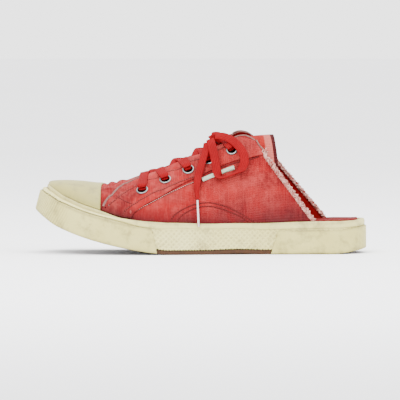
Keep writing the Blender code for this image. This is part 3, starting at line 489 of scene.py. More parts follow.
def grid(across, along, place, bm=None, attributes=None):
    """A sheet that starts as a flat grid: place(u, v), u and v from 0 to 1, gives its points and its UV in
    metres. attributes: names of point values, each a function of u and v."""
    bm = bm or bmesh.new()
    layer = bm.loops.layers.uv.get("UVMap") or bm.loops.layers.uv.new("UVMap")
    stores = {}
    for key in attributes or ():
        stores[key] = bm.verts.layers.float.get(key) or bm.verts.layers.float.new(key)
    made = bmesh.ops.create_grid(bm, x_segments=across, y_segments=along, size=1)["verts"]
    flat = np.array([vertex.co[:2] for vertex in made]) / 2 + 0.5
    points, uvs = place(flat[:, 0], flat[:, 1])
    for vertex, point, uv in zip(made, world(points).tolist(), uvs.tolist()):
        vertex.co = point
        for loop in vertex.link_loops:
            loop[layer].uv = uv
    for key, store in stores.items():
        for vertex, number in zip(made, attributes[key](flat[:, 0], flat[:, 1]).tolist()):
            vertex[store] = number
    return bm


SLANT_REACH = 0.02  # how far from a band's ends its slant begins


def band(name, start, stop, corners, finishes, stands_for, cells, closed=False, slant=None):
    """A rubber strip swept along the sole's side. corners(x, run) gives its profile as pairs of out and
    height. slant: how much further its foot reaches than its top, at both ends."""
    count = len(corners(np.zeros(1), np.zeros(1)))

    def place(u, v):
        run = start + (stop - start) * u
        x = ring_x(run)
        profile = corners(x, run)
        outs = np.stack([np.broadcast_to(out, x.shape) for out, _ in profile])
        heights = np.stack([np.broadcast_to(height, x.shape) for _, height in profile])
        turn = np.round(v * count).astype(int)
        item = np.arange(len(x))
        out, height = outs[turn % count, item], heights[turn % count, item]
        if slant:
            low = 1 - height / heights.max(axis=0)
            ends = fade(run, start, start + SLANT_REACH) - fade(-run, -stop, -stop + SLANT_REACH)
            run = run + slant * low * ends
        return wall_point(run, out, height), np.stack([run, height], axis=1)

    bm = grid(cells, count, place)
    bmesh.ops.remove_doubles(bm, verts=bm.verts, dist=0.005 * MM)
    if not closed:
        bmesh.ops.holes_fill(bm, edges=bm.edges, sides=0)
    return finish(name, bm, finishes, stands_for)


def smooth_path(rows, count):
    """Points along an even, rounded path through these rows."""
    rows = np.asarray(rows, float)
    padded = np.vstack([2 * rows[:1] - rows[1:2], rows, 2 * rows[-1:] - rows[-2:-1]])
    fine = []
    for k in range(len(rows) - 1):
        a, b, c, d = padded[k : k + 4]
        slope, bend, twist = c - a, 2 * a - 5 * b + 4 * c - d, 3 * b - a - 3 * c + d
        for t in np.linspace(0, 1, 24, endpoint=False):
            fine.append(0.5 * (2 * b + slope * t + bend * t**2 + twist * t**3))
    fine = np.array([*fine, rows[-1]])
    run = run_along(fine[:, :3])
    even = np.linspace(0, run[-1], count)
    return even, np.stack([np.interp(even, run, fine[:, k]) for k in range(rows.shape[1])], axis=1)


LACE_CORNERS = 20  # of the lace's section
LACE_RIBS = 5
RIB_DEPTH = 0.16  # of the lace's thickness


def ribbon(name, centres, ups, width, thick, stands_for=(), cells=60):
    """A flat woven lace through these points, square to the ups, with its ribs running lengthwise. width
    and thick are numbers or one for each point."""
    widths, thicks = (np.broadcast_to(size, len(centres)) for size in (width, thick))
    length, path = smooth_path(np.column_stack([centres, ups, widths, thicks]), cells + 1)
    middle, up = path[:, :3], path[:, 3:6]
    way = unit(np.gradient(middle, axis=0))
    side = unit(np.cross(way, up))
    lift = np.cross(side, way)

    def place(u, v):
        k = np.round(u * cells).astype(int)
        angle = np.round(v * LACE_CORNERS) / LACE_CORNERS * 2 * math.pi
        a = np.sign(np.cos(angle)) * np.abs(np.cos(angle)) ** 0.7
        b = np.sign(np.sin(angle)) * np.abs(np.sin(angle)) ** 0.6
        b = b * (1 + RIB_DEPTH * np.cos(a * LACE_RIBS * math.pi))
        half, rise = path[k, 6] / 2, path[k, 7] / 2
        point = middle[k] + side[k] * (a * half)[:, None] + lift[k] * (b * rise)[:, None]
        return point, np.stack([length[k], a * half], axis=1)

    bm = grid(cells, LACE_CORNERS, place)
    bmesh.ops.remove_doubles(bm, verts=bm.verts, dist=0.002 * MM)
    bmesh.ops.holes_fill(bm, edges=bm.edges, sides=0)
    piece = finish(name, bm, lace_cotton, stands_for, merge=0)
    return piece, world(middle), float(length[-1])


def on_side(side, xs, rises, out):
    """Points and normals on the canvas, by distances from the toe and shares of the section's height."""
    xs = np.asarray(xs, float)
    v = v_at_rise(xs, np.asarray(rises, float))
    run = run_at(side, xs)
    return displaced(run, v, np.broadcast_to(out, xs.shape)), arc_normal(run, v)


def seam_path(side, text, spacing):
    """A seam's places, evenly spaced. text: pairs of millimetres from the toe and share of the height."""
    pairs = np.array([float(word) for word in text.split()]).reshape(-1, 2)
    points, _ = on_side(side, pairs[:, 0] * MM, pairs[:, 1], 0.0)
    count = max(int(run_along(points)[-1] / spacing), 2)
    _, even = smooth_path(np.column_stack([points, pairs]), count + 1)
    return even[:, 3] * MM, even[:, 4]


# A strip's section, in halves of its width and in its thickness
STRIP_PROFILE = np.array([(-1, 0), (-0.6, 1), (0.6, 1), (1, 0), (0, -0.6)])


def strip(bm, side, xs, rises, out, width, thick):
    """A narrow strip that follows the canvas, as a seam's furrow or a raw edge."""
    points, normals = on_side(side, xs, rises, out)
    across = np.cross(unit(np.gradient(points, axis=0)), normals)
    last = len(points) - 1
    count = len(STRIP_PROFILE)

    def place(u, v):
        k = np.round(u * last).astype(int)
        corner = STRIP_PROFILE[np.round(v * count).astype(int) % count]
        point = points[k] + across[k] * (corner[:, :1] * width / 2) + normals[k] * (corner[:, 1:] * thick)
        return point, np.stack([k * 0.001, corner[:, 0] * width / 2], axis=1)

    return grid(last, count, place, bm)


def stitches(bm, side, xs, rises, out, length, thick):
    """Short raised stitches, one between each two places."""
    points, normals = on_side(side, xs, rises, out)
    shape = bmesh.new()
    bmesh.ops.create_icosphere(shape, subdivisions=1, radius=0.5)
    corners = np.array([vertex.co for vertex in shape.verts])
    triangles = [[vertex.index for vertex in face.verts] for face in shape.faces]
    shape.free()
    for k in range(len(points) - 1):
        way = points[k + 1] - points[k]
        gap = np.linalg.norm(way)
        if gap < 0.2 * MM:
            continue
        axes = np.array([way / gap, np.cross(normals[k], way / gap), normals[k]])
        size = np.array([min(length, gap * 0.82), thick, thick])
        placed = world((points[k] + points[k + 1]) / 2 + (corners * size) @ axes)
        verts = [bm.verts.new(place) for place in placed.tolist()]
        for triangle in triangles:
            bm.faces.new([verts[j] for j in triangle])
    return bm


def seat(bm, verts, place, axis):
    """Turns these vertices' +Z to the axis and moves them to the place."""
    turn = Vector(axis.tolist()).to_track_quat("Z", "X").to_matrix().to_4x4()
    bmesh.ops.transform(bm, matrix=Matrix.Translation(world(place).tolist()) @ turn, verts=verts)


# Materials

# Each node's kind in Blender, the inputs that its values go to, its output, and its fixed settings
KINDS = {
    "noise": ("ShaderNodeTexNoise", ("Vector", "Scale", "Detail", "Roughness"), "Fac", {}),
    "ribs": ("ShaderNodeTexWave", ("Vector", "Scale"), "Fac", {"wave_profile": "SIN"}),
    "stretch": ("ShaderNodeMapping", ("Vector", "Scale"), "Vector", {}),
    "along": ("ShaderNodeSeparateXYZ", ("Vector",), "X", {}),
    "up": ("ShaderNodeSeparateXYZ", ("Vector",), "Y", {}),
    "wear": ("ShaderNodeAttribute", (), "Fac", {"attribute_name": "wear"}),
    "spread": ("ShaderNodeMapRange", ("Value", "From Min", "From Max", "To Min", "To Max"), "Result", {}),
    "mix": ("ShaderNodeMix", (0, 6, 7), 2, {"data_type": "RGBA"}),
    "bump": ("ShaderNodeBump", ("Height", "Distance", "Strength"), "Normal", {}),
}
for operation in ("ADD", "SUBTRACT", "MULTIPLY", "MINIMUM", "MAXIMUM", "SINE", "ABSOLUTE"):
    KINDS[operation.lower()] = ("ShaderNodeMath", (0, 1), 0, {"operation": operation})


def node(tree, kind, *values, **settings):
    """Adds a node, sets or links its inputs, and gives its output. A colour is an sRGB hex code."""
    blender_kind, sockets, output, fixed = KINDS[kind]
    made = tree.nodes.new(blender_kind)
    for key, value in {**fixed, **settings}.items():
        setattr(made, key, value)
    for socket, value in zip(sockets, values):
        if isinstance(value, bpy.types.NodeSocket):
            tree.links.new(value, made.inputs[socket])
        else:
            made.inputs[socket].default_value = linear(value) if isinstance(value, str) else value
    return made.outputs[output]


def fresh(name, colour, sockets):
    """A material with plain values on its shader's own sockets, what adds nodes to it, and its UV and
    object coordinates."""
    made = bpy.data.materials.new(name)
    made.use_nodes = True
    tree = made.node_tree
    shader = tree.nodes["Principled BSDF"]
    shader.inputs["Base Color"].default_value = linear(colour)
    for key, value in sockets.items():
        shader.inputs[key].default_value = value
    places = tree.nodes.new("ShaderNodeTexCoord").outputs
    return made, partial(node, tree), places["UV"], places["Object"]


def dress(made, add, colour, height, depth):
    """Links the colour and the surface's height, which is this deep."""
    shader = made.node_tree.nodes["Principled BSDF"]
    made.node_tree.links.new(colour, shader.inputs["Base Color"])
    made.node_tree.links.new(add("bump", height, depth, 1.0), shader.inputs["Normal"])
    return made


RIB = math.pi / 10  # the wave node's scale for one rib a metre
WEAVE = 1.3 * MM  # between threads as drawn; they lie 0.5 mm apart in life, too fine to show
PATTERN_PITCH = {"lattice": 4.6 * MM, "ribs": 2.6 * MM}  # drawn about twice as coarse as they are
LATTICE_MIDDLE = 0.0130
LATTICE_REACH = 0.0085
SOOT_RISE = 0.016


def canvas_material(name, deep, bright, pale, grime):
    """Washed cotton canvas, piece-dyed red. It reads as matt, soft cloth: paler where it rubs, streaked
    along its warp, flecked, and greyer by the sole."""
    made, add, uv, place = fresh(name, bright, {
        "Roughness": 0.92, "Specular IOR Level": 0.12, "Sheen Weight": 0.02, "Sheen Roughness": 0.6,
    })
    cloud = add("noise", place, 38.0, 4.0, 0.55)
    patch = add("noise", place, 110.0, 4.0, 0.65)
    # Long thin streaks up the cloth, where single warp threads took less dye
    streak = add("noise", add("stretch", uv, (1.0, 0.06, 1.0)), 900.0, 2.0, 0.7)
    fleck = add("noise", place, 900.0, 2.0, 0.8)
    colour = add("mix", add("spread", cloud, 0.38, 0.60), deep, bright)
    rubbed = add("add", add("spread", patch, 0.46, 0.70, 0.0, 0.60), add("wear"))
    colour = add("mix", add("minimum", rubbed, 0.7), colour, pale)
    colour = add("mix", add("spread", streak, 0.48, 0.74, 0.0, 0.55), colour, pale)
    colour = add("mix", add("spread", fleck, 0.55, 0.80, 0.0, 0.30), colour, deep)
    low = add("spread", add("up", uv), 0.0, SOOT_RISE, 0.80, 0.0)
    sooty = add("multiply", low, add("spread", patch, 0.2, 0.6, 0.5, 1.0))
    colour = add("mix", sooty, colour, grime)
    warp, weft = (add("ribs", uv, RIB / WEAVE, bands_direction=way) for way in ("X", "Y"))
    rough = add("add", add("add", warp, weft), add("multiply", patch, 1.2))
    return dress(made, add, colour, rough, 0.30 * MM)


def rubber_material(name, pale, aged, dirt_and_shade, pattern, unshaded_heights, rough=0.55):
    """Moulded natural rubber, once white. It reads as satin and yellowed in clouds, smudged, with painted
    shade at its foot, along its top edge and in its pattern's grooves. pattern: lattice or ribs on its side,
    or None. unshaded_heights: the heights between which the painted edge shade is thin."""
    made, add, uv, place = fresh(name, pale, {"Roughness": rough, "Specular IOR Level": 0.35})
    cloud = add("noise", place, 24.0, 4.0, 0.6)
    smudge = add("noise", place, 75.0, 5.0, 0.7)
    colour = add("mix", add("spread", cloud, 0.35, 0.68), pale, aged)
    colour = add("mix", add("spread", smudge, 0.50, 0.70, 0.0, 0.60), colour, dirt_and_shade)
    relief_height = add("multiply", add("noise", place, 1400.0, 2.0, 0.6), 0.25)
    run, height = add("along", uv), add("up", uv)
    low, high = unshaded_heights
    # Painted shade: darker at the band's foot and top edge, where it meets its neighbours, patchy with the
    # smudges
    foot = add("spread", height, low, low + 2.5 * MM, 0.55, 0.0)
    near = add("add", foot, add("spread", height, high - 2 * MM, high, 0.0, 0.6))
    colour = add("mix", add("multiply", near, add("spread", smudge, 0.3, 0.6, 0.3, 1.0)), colour, dirt_and_shade)
    if pattern:
        turns = 2 * math.pi / PATTERN_PITCH[pattern]
        slope = 1.0 if pattern == "lattice" else 0.45
        rising = add("add", run, add("multiply", height, slope))
        lines = add("sine", add("multiply", rising, turns))
        if pattern == "lattice":
            falling = add("sine", add("multiply", add("subtract", run, height), turns))
            lines = add("maximum", lines, falling)
            off = add("absolute", add("subtract", height, LATTICE_MIDDLE))
            mask = add("spread", off, LATTICE_REACH, LATTICE_REACH + 0.6 * MM, 1.0, 0.0)
        else:
            mask = add("spread", add("absolute", run), 0.045, 0.062, 1.0, 0.0)
        lines = add("multiply", lines, mask)
        relief_height = add("add", relief_height, lines)
        # Painted shade in the pattern's grooves
        colour = add("mix", add("spread", lines, -1.0, 0.2, 0.32, 0.0), colour, dirt_and_shade)
    return dress(made, add, colour, relief_height, 0.35 * MM)


def woven_material(name, bright, deep, ribs=None, speckle=0.35):
    """Woven cotton tape, lace or lining. It reads as soft and matt, with painted shade in the furrows
    between
    its ribs. ribs: their spacing across the piece, in metres."""
    made, add, uv, place = fresh(name, bright, {"Roughness": 0.85, "Specular IOR Level": 0.08})
    fleck = add("noise", place, 1500.0, 2.0, 0.7)
    soft = add("noise", place, 60.0, 3.0, 0.55)
    colour = add("mix", add("spread", fleck, 0.45, 0.75, 0.0, speckle), bright, deep)
    colour = add("mix", add("spread", soft, 0.45, 0.75, 0.0, 0.35), colour, deep)
    height = add("multiply", fleck, 0.6)
    if ribs:
        across = add("ribs", uv, RIB / ribs, bands_direction="Y")
        picks = add("ribs", uv, RIB / (1.1 * MM), bands_direction="X")
        # Painted shade in the furrows between the ribs
        colour = add("mix", add("spread", across, 0.0, 0.45, 0.55, 0.0), colour, deep)
        height = add("add", height, add("add", across, add("multiply", picks, 0.4)))
    return dress(made, add, colour, height, 0.15 * MM)


def plain_material(name, colour, shade, roughness, scale, bump, metallic=0.0, coat=0.0, specular=0.3):
    """One colour, mottled with a shade of it, with a fine grain. bump: the grain's depth in millimetres."""
    made, add, _, place = fresh(name, colour, {
        "Roughness": roughness, "Specular IOR Level": specular, "Metallic": metallic, "Coat Weight": coat,
    })
    grain = add("noise", place, scale, 4.0, 0.65)
    return dress(made, add, add("mix", add("spread", grain, 0.35, 0.7), colour, shade), grain, bump * MM)


RAW_BAND = (0.0085, 0.0032)  # before the tongue's end: where its raw band starts and where the painted shade of its turned-in edge starts


def tongue_material(name, raw, turned):
    """The tongue's canvas. Its end reads as torn cloth: a paler raw band, then painted shade of the
    turned-in edge.
    """
    made = canvas_material(name, "#6A0605", "#900C08", "#A0281E", "#421F21")
    tree = made.node_tree
    base = tree.nodes["Principled BSDF"].inputs["Base Color"]
    places = tree.nodes.new("ShaderNodeTexCoord").outputs
    x = node(tree, "along", places["UV"])
    torn = node(tree, "multiply", node(tree, "noise", places["Object"], 700.0, 3.0, 0.55), 0.002)
    start, stop = (TONGUE_END - back for back in RAW_BAND)
    share = node(tree, "spread", node(tree, "add", x, torn), start, start + 1 * MM, 0.0, 0.85)
    banded = node(tree, "mix", share, base.links[0].from_socket, raw)
    # Past stop the colour is the dark painted shade of the turned-in edge
    edge = node(tree, "spread", x, stop, stop + 0.5 * MM)
    tree.links.new(node(tree, "mix", edge, banded, turned), base)
    return made


# The cloth: faded red canvas, and the eyestays' canvas a little fresher
faded_canvas = canvas_material("washed_cotton_canvas", "#5E0509", "#840B0E", "#9E3430", "#33161A")
facing_canvas = canvas_material("washed_cotton_facing", "#5E070B", "#880E10", "#A03A35", "#3A1A1C")
# The tongue's end: a pale raw band, then near-black red, painted shade of the turned-in edge
tongue_canvas = tongue_material("washed_tongue_canvas", "#A8564C", "#3A0406")
# Unfaded cotton inside: a deeper, even red
red_lining = woven_material("cotton_lining", "#700608", "#4A0405", speckle=0.5)
footbed_cloth = woven_material("footbed_cloth", "#600404", "#3A0203", speckle=0.5)
# The brightest red on the shoe, ribbed lengthwise
lace_cotton = woven_material("flat_cotton_lace", "#7A050C", "#4A0206", ribs=1.45 * MM, speckle=0.3)
# Creamy, yellowing rubber; the toe's and heel's layers are a shade darker, the cap greyer and smoother
foxing_rubber = rubber_material("foxing_rubber", "#CFC785", "#C4BA73", "#7E7047", "lattice", (0.0, 0.0266))
bumper_rubber = rubber_material("bumper_rubber", "#C0B772", "#B2A75F", "#6A5E38", "ribs", (0.0003, 0.021))
patch_rubber = rubber_material("heel_rubber", "#BFB66F", "#B2A861", "#6E643B", None, (0.0003, 0.0207))
strip_rubber = rubber_material("toe_strip_rubber", "#BAB172", "#A99E60", "#5A4B3C", None, (0.0195, 0.030))
cap_rubber = rubber_material("toe_cap_rubber", "#98904E", "#8D8447", "#625A3C", None, (-0.02, 0.09), 0.48)
# Dull tan-brown tread, and the coarse pale cushion above it
tread_rubber = plain_material("tan_tread_rubber", "#40260F", "#321D0C", 0.75, 260.0, 0.25)
midsole_foam = plain_material("cork_and_foam", "#CDBE98", "#B5A27C", 0.9, 500.0, 0.3)
# Plated brass: a soft grey shine with bright rims, and near-black painted shade in the holes
eyelet_metal = plain_material("nickelled_brass", "#7F8280", "#5C6061", 0.30, 300.0, 0.03, metallic=1.0)
hole_shade_paint = plain_material("painted_hole_shadow", "#080203", "#040101", 0.95, 400.0, 0.2, specular=0.0)
# Threads: dyed with the canvas, faded pink, and undyed; a seam's sunk line is painted shade, the darkest of
# them
red_thread = plain_material("dyed_thread", "#6A0A08", "#4A0606", 0.85, 900.0, 0.1)
worn_thread = plain_material("faded_thread", "#8A3A34", "#5E1A18", 0.85, 900.0, 0.1)
pale_thread = plain_material("undyed_thread", "#BE9A90", "#8E544A", 0.85, 900.0, 0.1)
seam_shade = plain_material("seam_shadow", "#520808", "#3A0505", 0.95, 700.0, 0.05)
# Cut cloth: greyish mauve edges, and pinkish curls mottled with dark red: the cloth's red and painted shade
# among the tufts
raw_cloth = plain_material("raw_cloth_edge", "#75524B", "#4A302D", 0.95, 900.0, 0.25)
fray_cotton = plain_material("unravelled_cotton", "#C09488", "#7A2019", 0.95, 260.0, 0.5)
# Greenish white tape, and the lace's hard shiny red tip, with a white highlight painted down its middle
cotton_tape = woven_material("cotton_tape", "#A9AE98", "#8A8F7C", ribs=0.9 * MM)
aglet_painted_highlight = plain_material("tip_painted_highlight", "#C8BDB8", "#B0A4A0", 0.35, 500.0, 0.02, coat=0.4)
red_plastic = plain_material("red_tip_plastic", "#85090B", "#6C0607", 0.4, 500.0, 0.02, coat=0.3)


# The camera and the light

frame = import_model()

AIM = Vector((-0.0006, -0.045, 0.0476))
DISTANCE = 8.0
ELEVATION = math.radians(2.5)
LENS = 827.0  # millimetres: a long lens, as the photo shows almost no perspective


def look_at(thing, target):
    thing.rotation_euler = (target - thing.location).to_track_quat("-Z", "Y").to_euler()


def make_camera():
    data = bpy.data.cameras.new("camera")
    data.lens = LENS
    data.sensor_width = 36.0
    camera = bpy.data.objects.new("camera", data)
    bpy.context.scene.collection.objects.link(camera)
    camera.location = AIM + DISTANCE * Vector((0.0, -math.cos(ELEVATION), math.sin(ELEVATION)))
    look_at(camera, AIM)
    bpy.context.scene.camera = camera


def make_light(name, place, size, watts, colour):
    data = bpy.data.lights.new(name, "AREA")
    data.shape = "DISK"
    data.size = size
    data.energy = watts
    data.color = linear(colour)[:3]
    light = bpy.data.objects.new(name, data)
    bpy.context.scene.collection.objects.link(light)
    light.location = place
    look_at(light, Vector((0.0, 0.0, 0.04)))


def make_studio():
    bm = bmesh.new()
    bmesh.ops.create_grid(bm, x_segments=1, y_segments=1, size=6.0)
    mesh = bpy.data.meshes.new("floor")
    bm.to_mesh(mesh)
    bm.free()
    mesh.materials.append(plain_material("white_floor", "#F6F6F8", "#F4F4F6", 0.9, 3.0, 0.0))
    floor = bpy.data.objects.new("floor", mesh)
    bpy.context.scene.collection.objects.link(floor)
    floor.location = (0, 0, -0.0002)
    world_light = bpy.data.worlds.new("studio")
    world_light.use_nodes = True
    background = world_light.node_tree.nodes["Background"]
    background.inputs["Color"].default_value = linear("#FFFFFF")
    background.inputs["Strength"].default_value = 3.0
    bpy.context.scene.world = world_light
    make_light("key", (-0.5, -0.9, 1.3), 0.9, 30, "#FFFFFF")
    make_light("fill", (0.9, -1.1, 0.7), 0.9, 10, "#F4F7FF")
    make_light("top", (0.1, 0.2, 1.5), 1.0, 21, "#FFFFFF")


# The lace

EYELETS = table("""
along   rise
-0.008  0.672
 0.202  0.743
 0.410  0.752
 0.599  0.786
 0.800  0.785
""")
# The loop and the end lie on the outer side. out: millimetres off the upper. turn: 1 where the lace is
# on edge.
LACE_LOOP = table("""
along  rise   out   turn
0.640  0.915  9.9   0.0
0.647  0.850  9.2   0.0
0.655  0.762  7.2   0.0
0.661  0.669  5.6   0.0
0.667  0.591  4.4   0.1
0.686  0.531  4.0   0.7
0.724  0.506  4.0   1.0
0.776  0.509  4.2   1.0
0.834  0.524  4.6   0.9
0.888  0.565  4.8   0.3
0.908  0.632  4.8   0.0
0.899  0.700  4.8   0.0
0.864  0.775  5.2   0.0
0.810  0.848  6.4   0.0
0.745  0.905  8.2   0.0
0.690  0.925  9.6   0.0
""")
LACE_END = table("""
along  rise   out  turn
0.607  0.905  8.8  0.0
0.584  0.848  7.0  0.0
0.553  0.779  5.8  0.1
0.522  0.697  4.4  0.2
0.497  0.608  3.4  0.2
0.484  0.510  2.8  0.1
0.483  0.425  2.4  0.0
0.487  0.312  2.2  0.0
""")
KNOT_ALONG = 0.648
KNOT_SIDE = -0.004
KNOT_LIFT = 0.0046
KNOT_HEIGHT = 0.0072
KNOT_RADII = np.array([4.2, 4.2, 2.6]) * MM
AGLET_RADIUS = 0.0012
AGLET_LOW = 0.0244
EYESTAY_OUT = 1.4 * MM
LACE_OUT = 3.5 * MM
EDGE_OUT = {"outer": 1.2 * MM, "inner": 0.8 * MM}
EYELET_OUTER = 5.3 * MM
EYELET_BARREL = 3.8 * MM
EYELET_HOLE = 3.6 * MM
FLANGE_SEAT = 1.7 * MM
FLANGE_THICK = 0.7 * MM
UP = np.array([0.0, 0.0, 1.0])


def lace_route(rows):
    x = throat_x(rows["along"])
    v = v_at_rise(x, rows["rise"])
    run = run_at("outer", x)
    normals = arc_normal(run, v)
    centres = arc_point(run, v) + (rows["out"] * MM)[:, None] * normals
    turn = rows["turn"][:, None]
    return centres, normals * (1 - turn) + UP * turn


def tongue_point(side, x, share, out):
    """Outside the tongue's face. share runs from the ridge, 0, to the tongue's side edge, 1."""
    lower = tongue_lower(x)
    run = run_at(side, x)
    reach = np.abs(ridge_point(x)[..., 1] - arc_point(run, 0.0, lower)[..., 1])
    width = np.minimum(TONGUE_WIDTH / 2 * share / reach, 1.0)
    v = np.arccos(width ** (section_size("power", x) / 2)) * 2 / math.pi
    normal = arc_normal(run, np.minimum(v, 0.98), lower)
    return arc_point(run, v, lower) + np.asarray(out - UPPER_WALL - GAP)[..., None] * normal, normal


def eyelet_place(side, k):
    x = throat_x(EYELETS["along"][k])
    v = v_at_rise(x, EYELETS["rise"][k])
    run = run_at(side, x)
    return displaced(run, v, 0.0), arc_normal(run, v)


def from_eyelet(side, k, lean):
    """A lace's way out of an eyelet's hole, flat over its flange and round the throat's edge."""
    start, normal = eyelet_place(side, k)
    x_edge = max(throat_x(EYELETS["along"][k]) - lean, VAMP_LENGTH + 2 * MM)
    along = (x_edge - VAMP_LENGTH) / (QUARTER_END - VAMP_LENGTH)
    edge_v = v_at_rise(x_edge, read(TOP_EDGE, "along", side, max(along, 0.02)))
    run = run_at(side, x_edge)
    edge_normal = arc_normal(run, edge_v)
    edge = arc_point(run, edge_v) + EDGE_OUT[side] * edge_normal
    way = unit((edge - start) - normal * ((edge - start) @ normal))
    past = unit((edge - start) - edge_normal * ((edge - start) @ edge_normal))
    return [
        (start + way * 0.5 * MM - normal * 1.0 * MM, way, 5.6, 1.7),
        (start + way * 0.6 * MM + normal * 1.7 * MM, unit(way + normal * 0.3), 6.0, 1.9),
        (start + way * 2.2 * MM + normal * (LACE_OUT + 0.1 * MM), unit(way * 0.3 + normal), 7.2, 2.1),
        (start + way * 5.4 * MM + normal * (LACE_OUT + 0.1 * MM), normal, 8.2, 2.3),
        (edge - past * 2.4 * MM + edge_normal * 0.6 * MM, edge_normal, 8.4, 2.2),
        (edge + past * 1.6 * MM - edge_normal * 1.6 * MM, unit(edge_normal + past * 0.8), 7.8, 1.9),
    ]


def lace_piece(name, rows, stands_for=(), cells=90):
    """rows: a lace's places, ups, widths and thicknesses, the last two in millimetres."""
    centres, ups, widths, thicks = (np.array(column) for column in zip(*rows))
    ribbon(name, centres, ups, widths * MM, thicks * MM, stands_for, cells)


def make_laces():
    near = from_eyelet("outer", 0, -1 * MM)
    far = from_eyelet("inner", 0, -1 * MM)
    middle_x = throat_x(EYELETS["along"][0]) + 1.5 * MM
    top = ridge_point(middle_x) + UP * (EDGE_OUT["outer"] + 0.1 * MM)
    lace_piece("laced_bar", [*near, (top, UP, 7.5, 1.7), *far[::-1]], ["lace_bar_1"], 120)
    for k in range(1, len(EYELETS["along"])):
        x, below = throat_x(EYELETS["along"][k]), throat_x(EYELETS["along"][k - 1])
        for side, other, lift in (("outer", "inner", 1.5), ("inner", "outer", 3.0)):
            rows = from_eyelet(side, k, 5 * MM)
            middle_x = (x + below) / 2
            middle, normal = tongue_point(side, middle_x, 0.0, lift * MM)
            rows.append((middle, UP, 7.5, 1.7))
            beyond, normal = tongue_point(other, below + 4 * MM, 0.42, 1.2 * MM)
            rows.append((beyond, normal, 6.5, 1.2))
            hidden, normal = tongue_point(other, below + 1 * MM, 0.62, 0.4 * MM)
            rows.append((hidden, normal, 5.0, 0.5))
            lace_piece(f"laced_{side}_{k + 1}", rows, [f"lace_cross_{k + 1}"] if side == "outer" else ())


def knot_centre():
    x = throat_x(KNOT_ALONG)
    low = ridge_point(x)[2] - tongue_lower(x) - UPPER_WALL + KNOT_LIFT
    return np.array([x, KNOT_SIDE, low + KNOT_HEIGHT / 2])


def make_knot():
    """The core is the lace's two strands, and a third passes round them."""
    centre = knot_centre()
    rows = []
    for k in range(17):
        angle = 2 * math.pi * k / 16
        spoke = np.array([0.25 * math.cos(angle), math.cos(angle), math.sin(angle)])
        rows.append((centre + spoke * KNOT_RADII, unit(spoke), 7.0, 1.8))
    lace_piece("knot_wrap", rows, ["lace_knot"], 80)
    for name, turn, lift, thick in (("knot_strand", 1.0, 0.3, 2.2), ("knot_strand_under", -1.0, -3.2, 3.6)):
        rows = []
        for share in np.linspace(-1, 1, 9):
            place = centre + np.array([5.0 * share, 2.4 * turn * share, lift - 2.6 * share**2]) * MM
            rows.append((place, unit(np.array([-0.5 * share, 0.0, 1.0])), 6.4, thick))
        lace_piece(name, rows, cells=40)


def hang(name, rows, width, stands_for, cells, tip=False):
    """A hanging part of the lace, as a cord from the knot."""
    centres, ups = lace_route(rows)
    piece, path, length = ribbon(name, centres, ups, width, LACE_THICK, stands_for, cells)
    extra = {"with_pieces": [make_aglet(centres[-1])]} if tip else {}


def make_bow():
    hang("bow_loop", LACE_LOOP, LACE_WIDTH, ["lace_loop"], 170)
    width = np.full(len(LACE_END["along"]), LACE_WIDTH * 0.9)
    width[-3:] = np.array([5.6, 4.4, 3.0]) * MM
    hang("bow_end", LACE_END, width, ["lace_end"], 90, tip=True)


def make_aglet(end):
    x = throat_x(LACE_END["along"][-1])
    low = wall_point(run_at("outer", x), 3.9 * MM, AGLET_LOW - TOE_SPRING * sole_size("lift", x))
    axis = low - end
    reach = float(np.linalg.norm(axis))
    bm = bmesh.new()
    bmesh.ops.create_cone(bm, cap_ends=True, segments=20, radius1=AGLET_RADIUS, radius2=AGLET_RADIUS * 0.85,
                          depth=reach * 0.97)
    seat(bm, bm.verts, (end * 0.985 + low * 1.015) / 2, -axis)
    # Painted highlight: faces that don't look to the toe or heel are white, the rest the tip's red
    for face in bm.faces:
        face.material_index = 1 if abs(face.normal.x) > 0.72 else 0
    return finish("lace_tip", bm, [aglet_painted_highlight, red_plastic], ["aglet"])


# The sole


def make_foxing():
    scallop = 2.5 * MM

    def corners(x, run):
        top, rim = wall_height(x), rim_height(x)
        low = OUTSOLE_THICK + 0.2 * MM + 0.75 * MM * np.abs(np.sin(run * math.pi / scallop))
        back = OUTSOLE_THICK + GAP
        return [
            (-0.3 * MM, low), (0.25 * MM, low + 0.2 * MM), (0.25 * MM, low + 0.8 * MM),
            (0.0, low + 1.2 * MM), (0.0, top - rim - 0.5 * MM), (-0.35 * MM, top - rim),
            (0.25 * MM, top - rim + 0.35 * MM), (0.5 * MM, top - rim + 0.9 * MM), (0.5 * MM, top - 1.7 * MM),
            (0.25 * MM, top - 0.8 * MM), (-0.3 * MM, top - 0.2 * MM), (-1.1 * MM, top), (-FOXING_WALL, top),
            (-FOXING_WALL, back),
        ]

    band("foxing_wall", RUN[0], RUN[-1], corners, foxing_rubber, ["foxing"], 1300, closed=True)


def layer(thick, top_at, low=GAP):
    """The rounded profile of a rubber layer on the foxing."""

    def corners(x, run):
        top = top_at(x)
        face, soft = GAP + thick, 0.6 * MM
        half = [(GAP * 0.3, 0.0), (face - soft, 0.0), (face - 0.15 * MM, 0.5 * soft), (face, 1.6 * soft)]
        return [(out, low + up) for out, up in half] + [(out, top - up) for out, up in half[::-1]]

    return corners


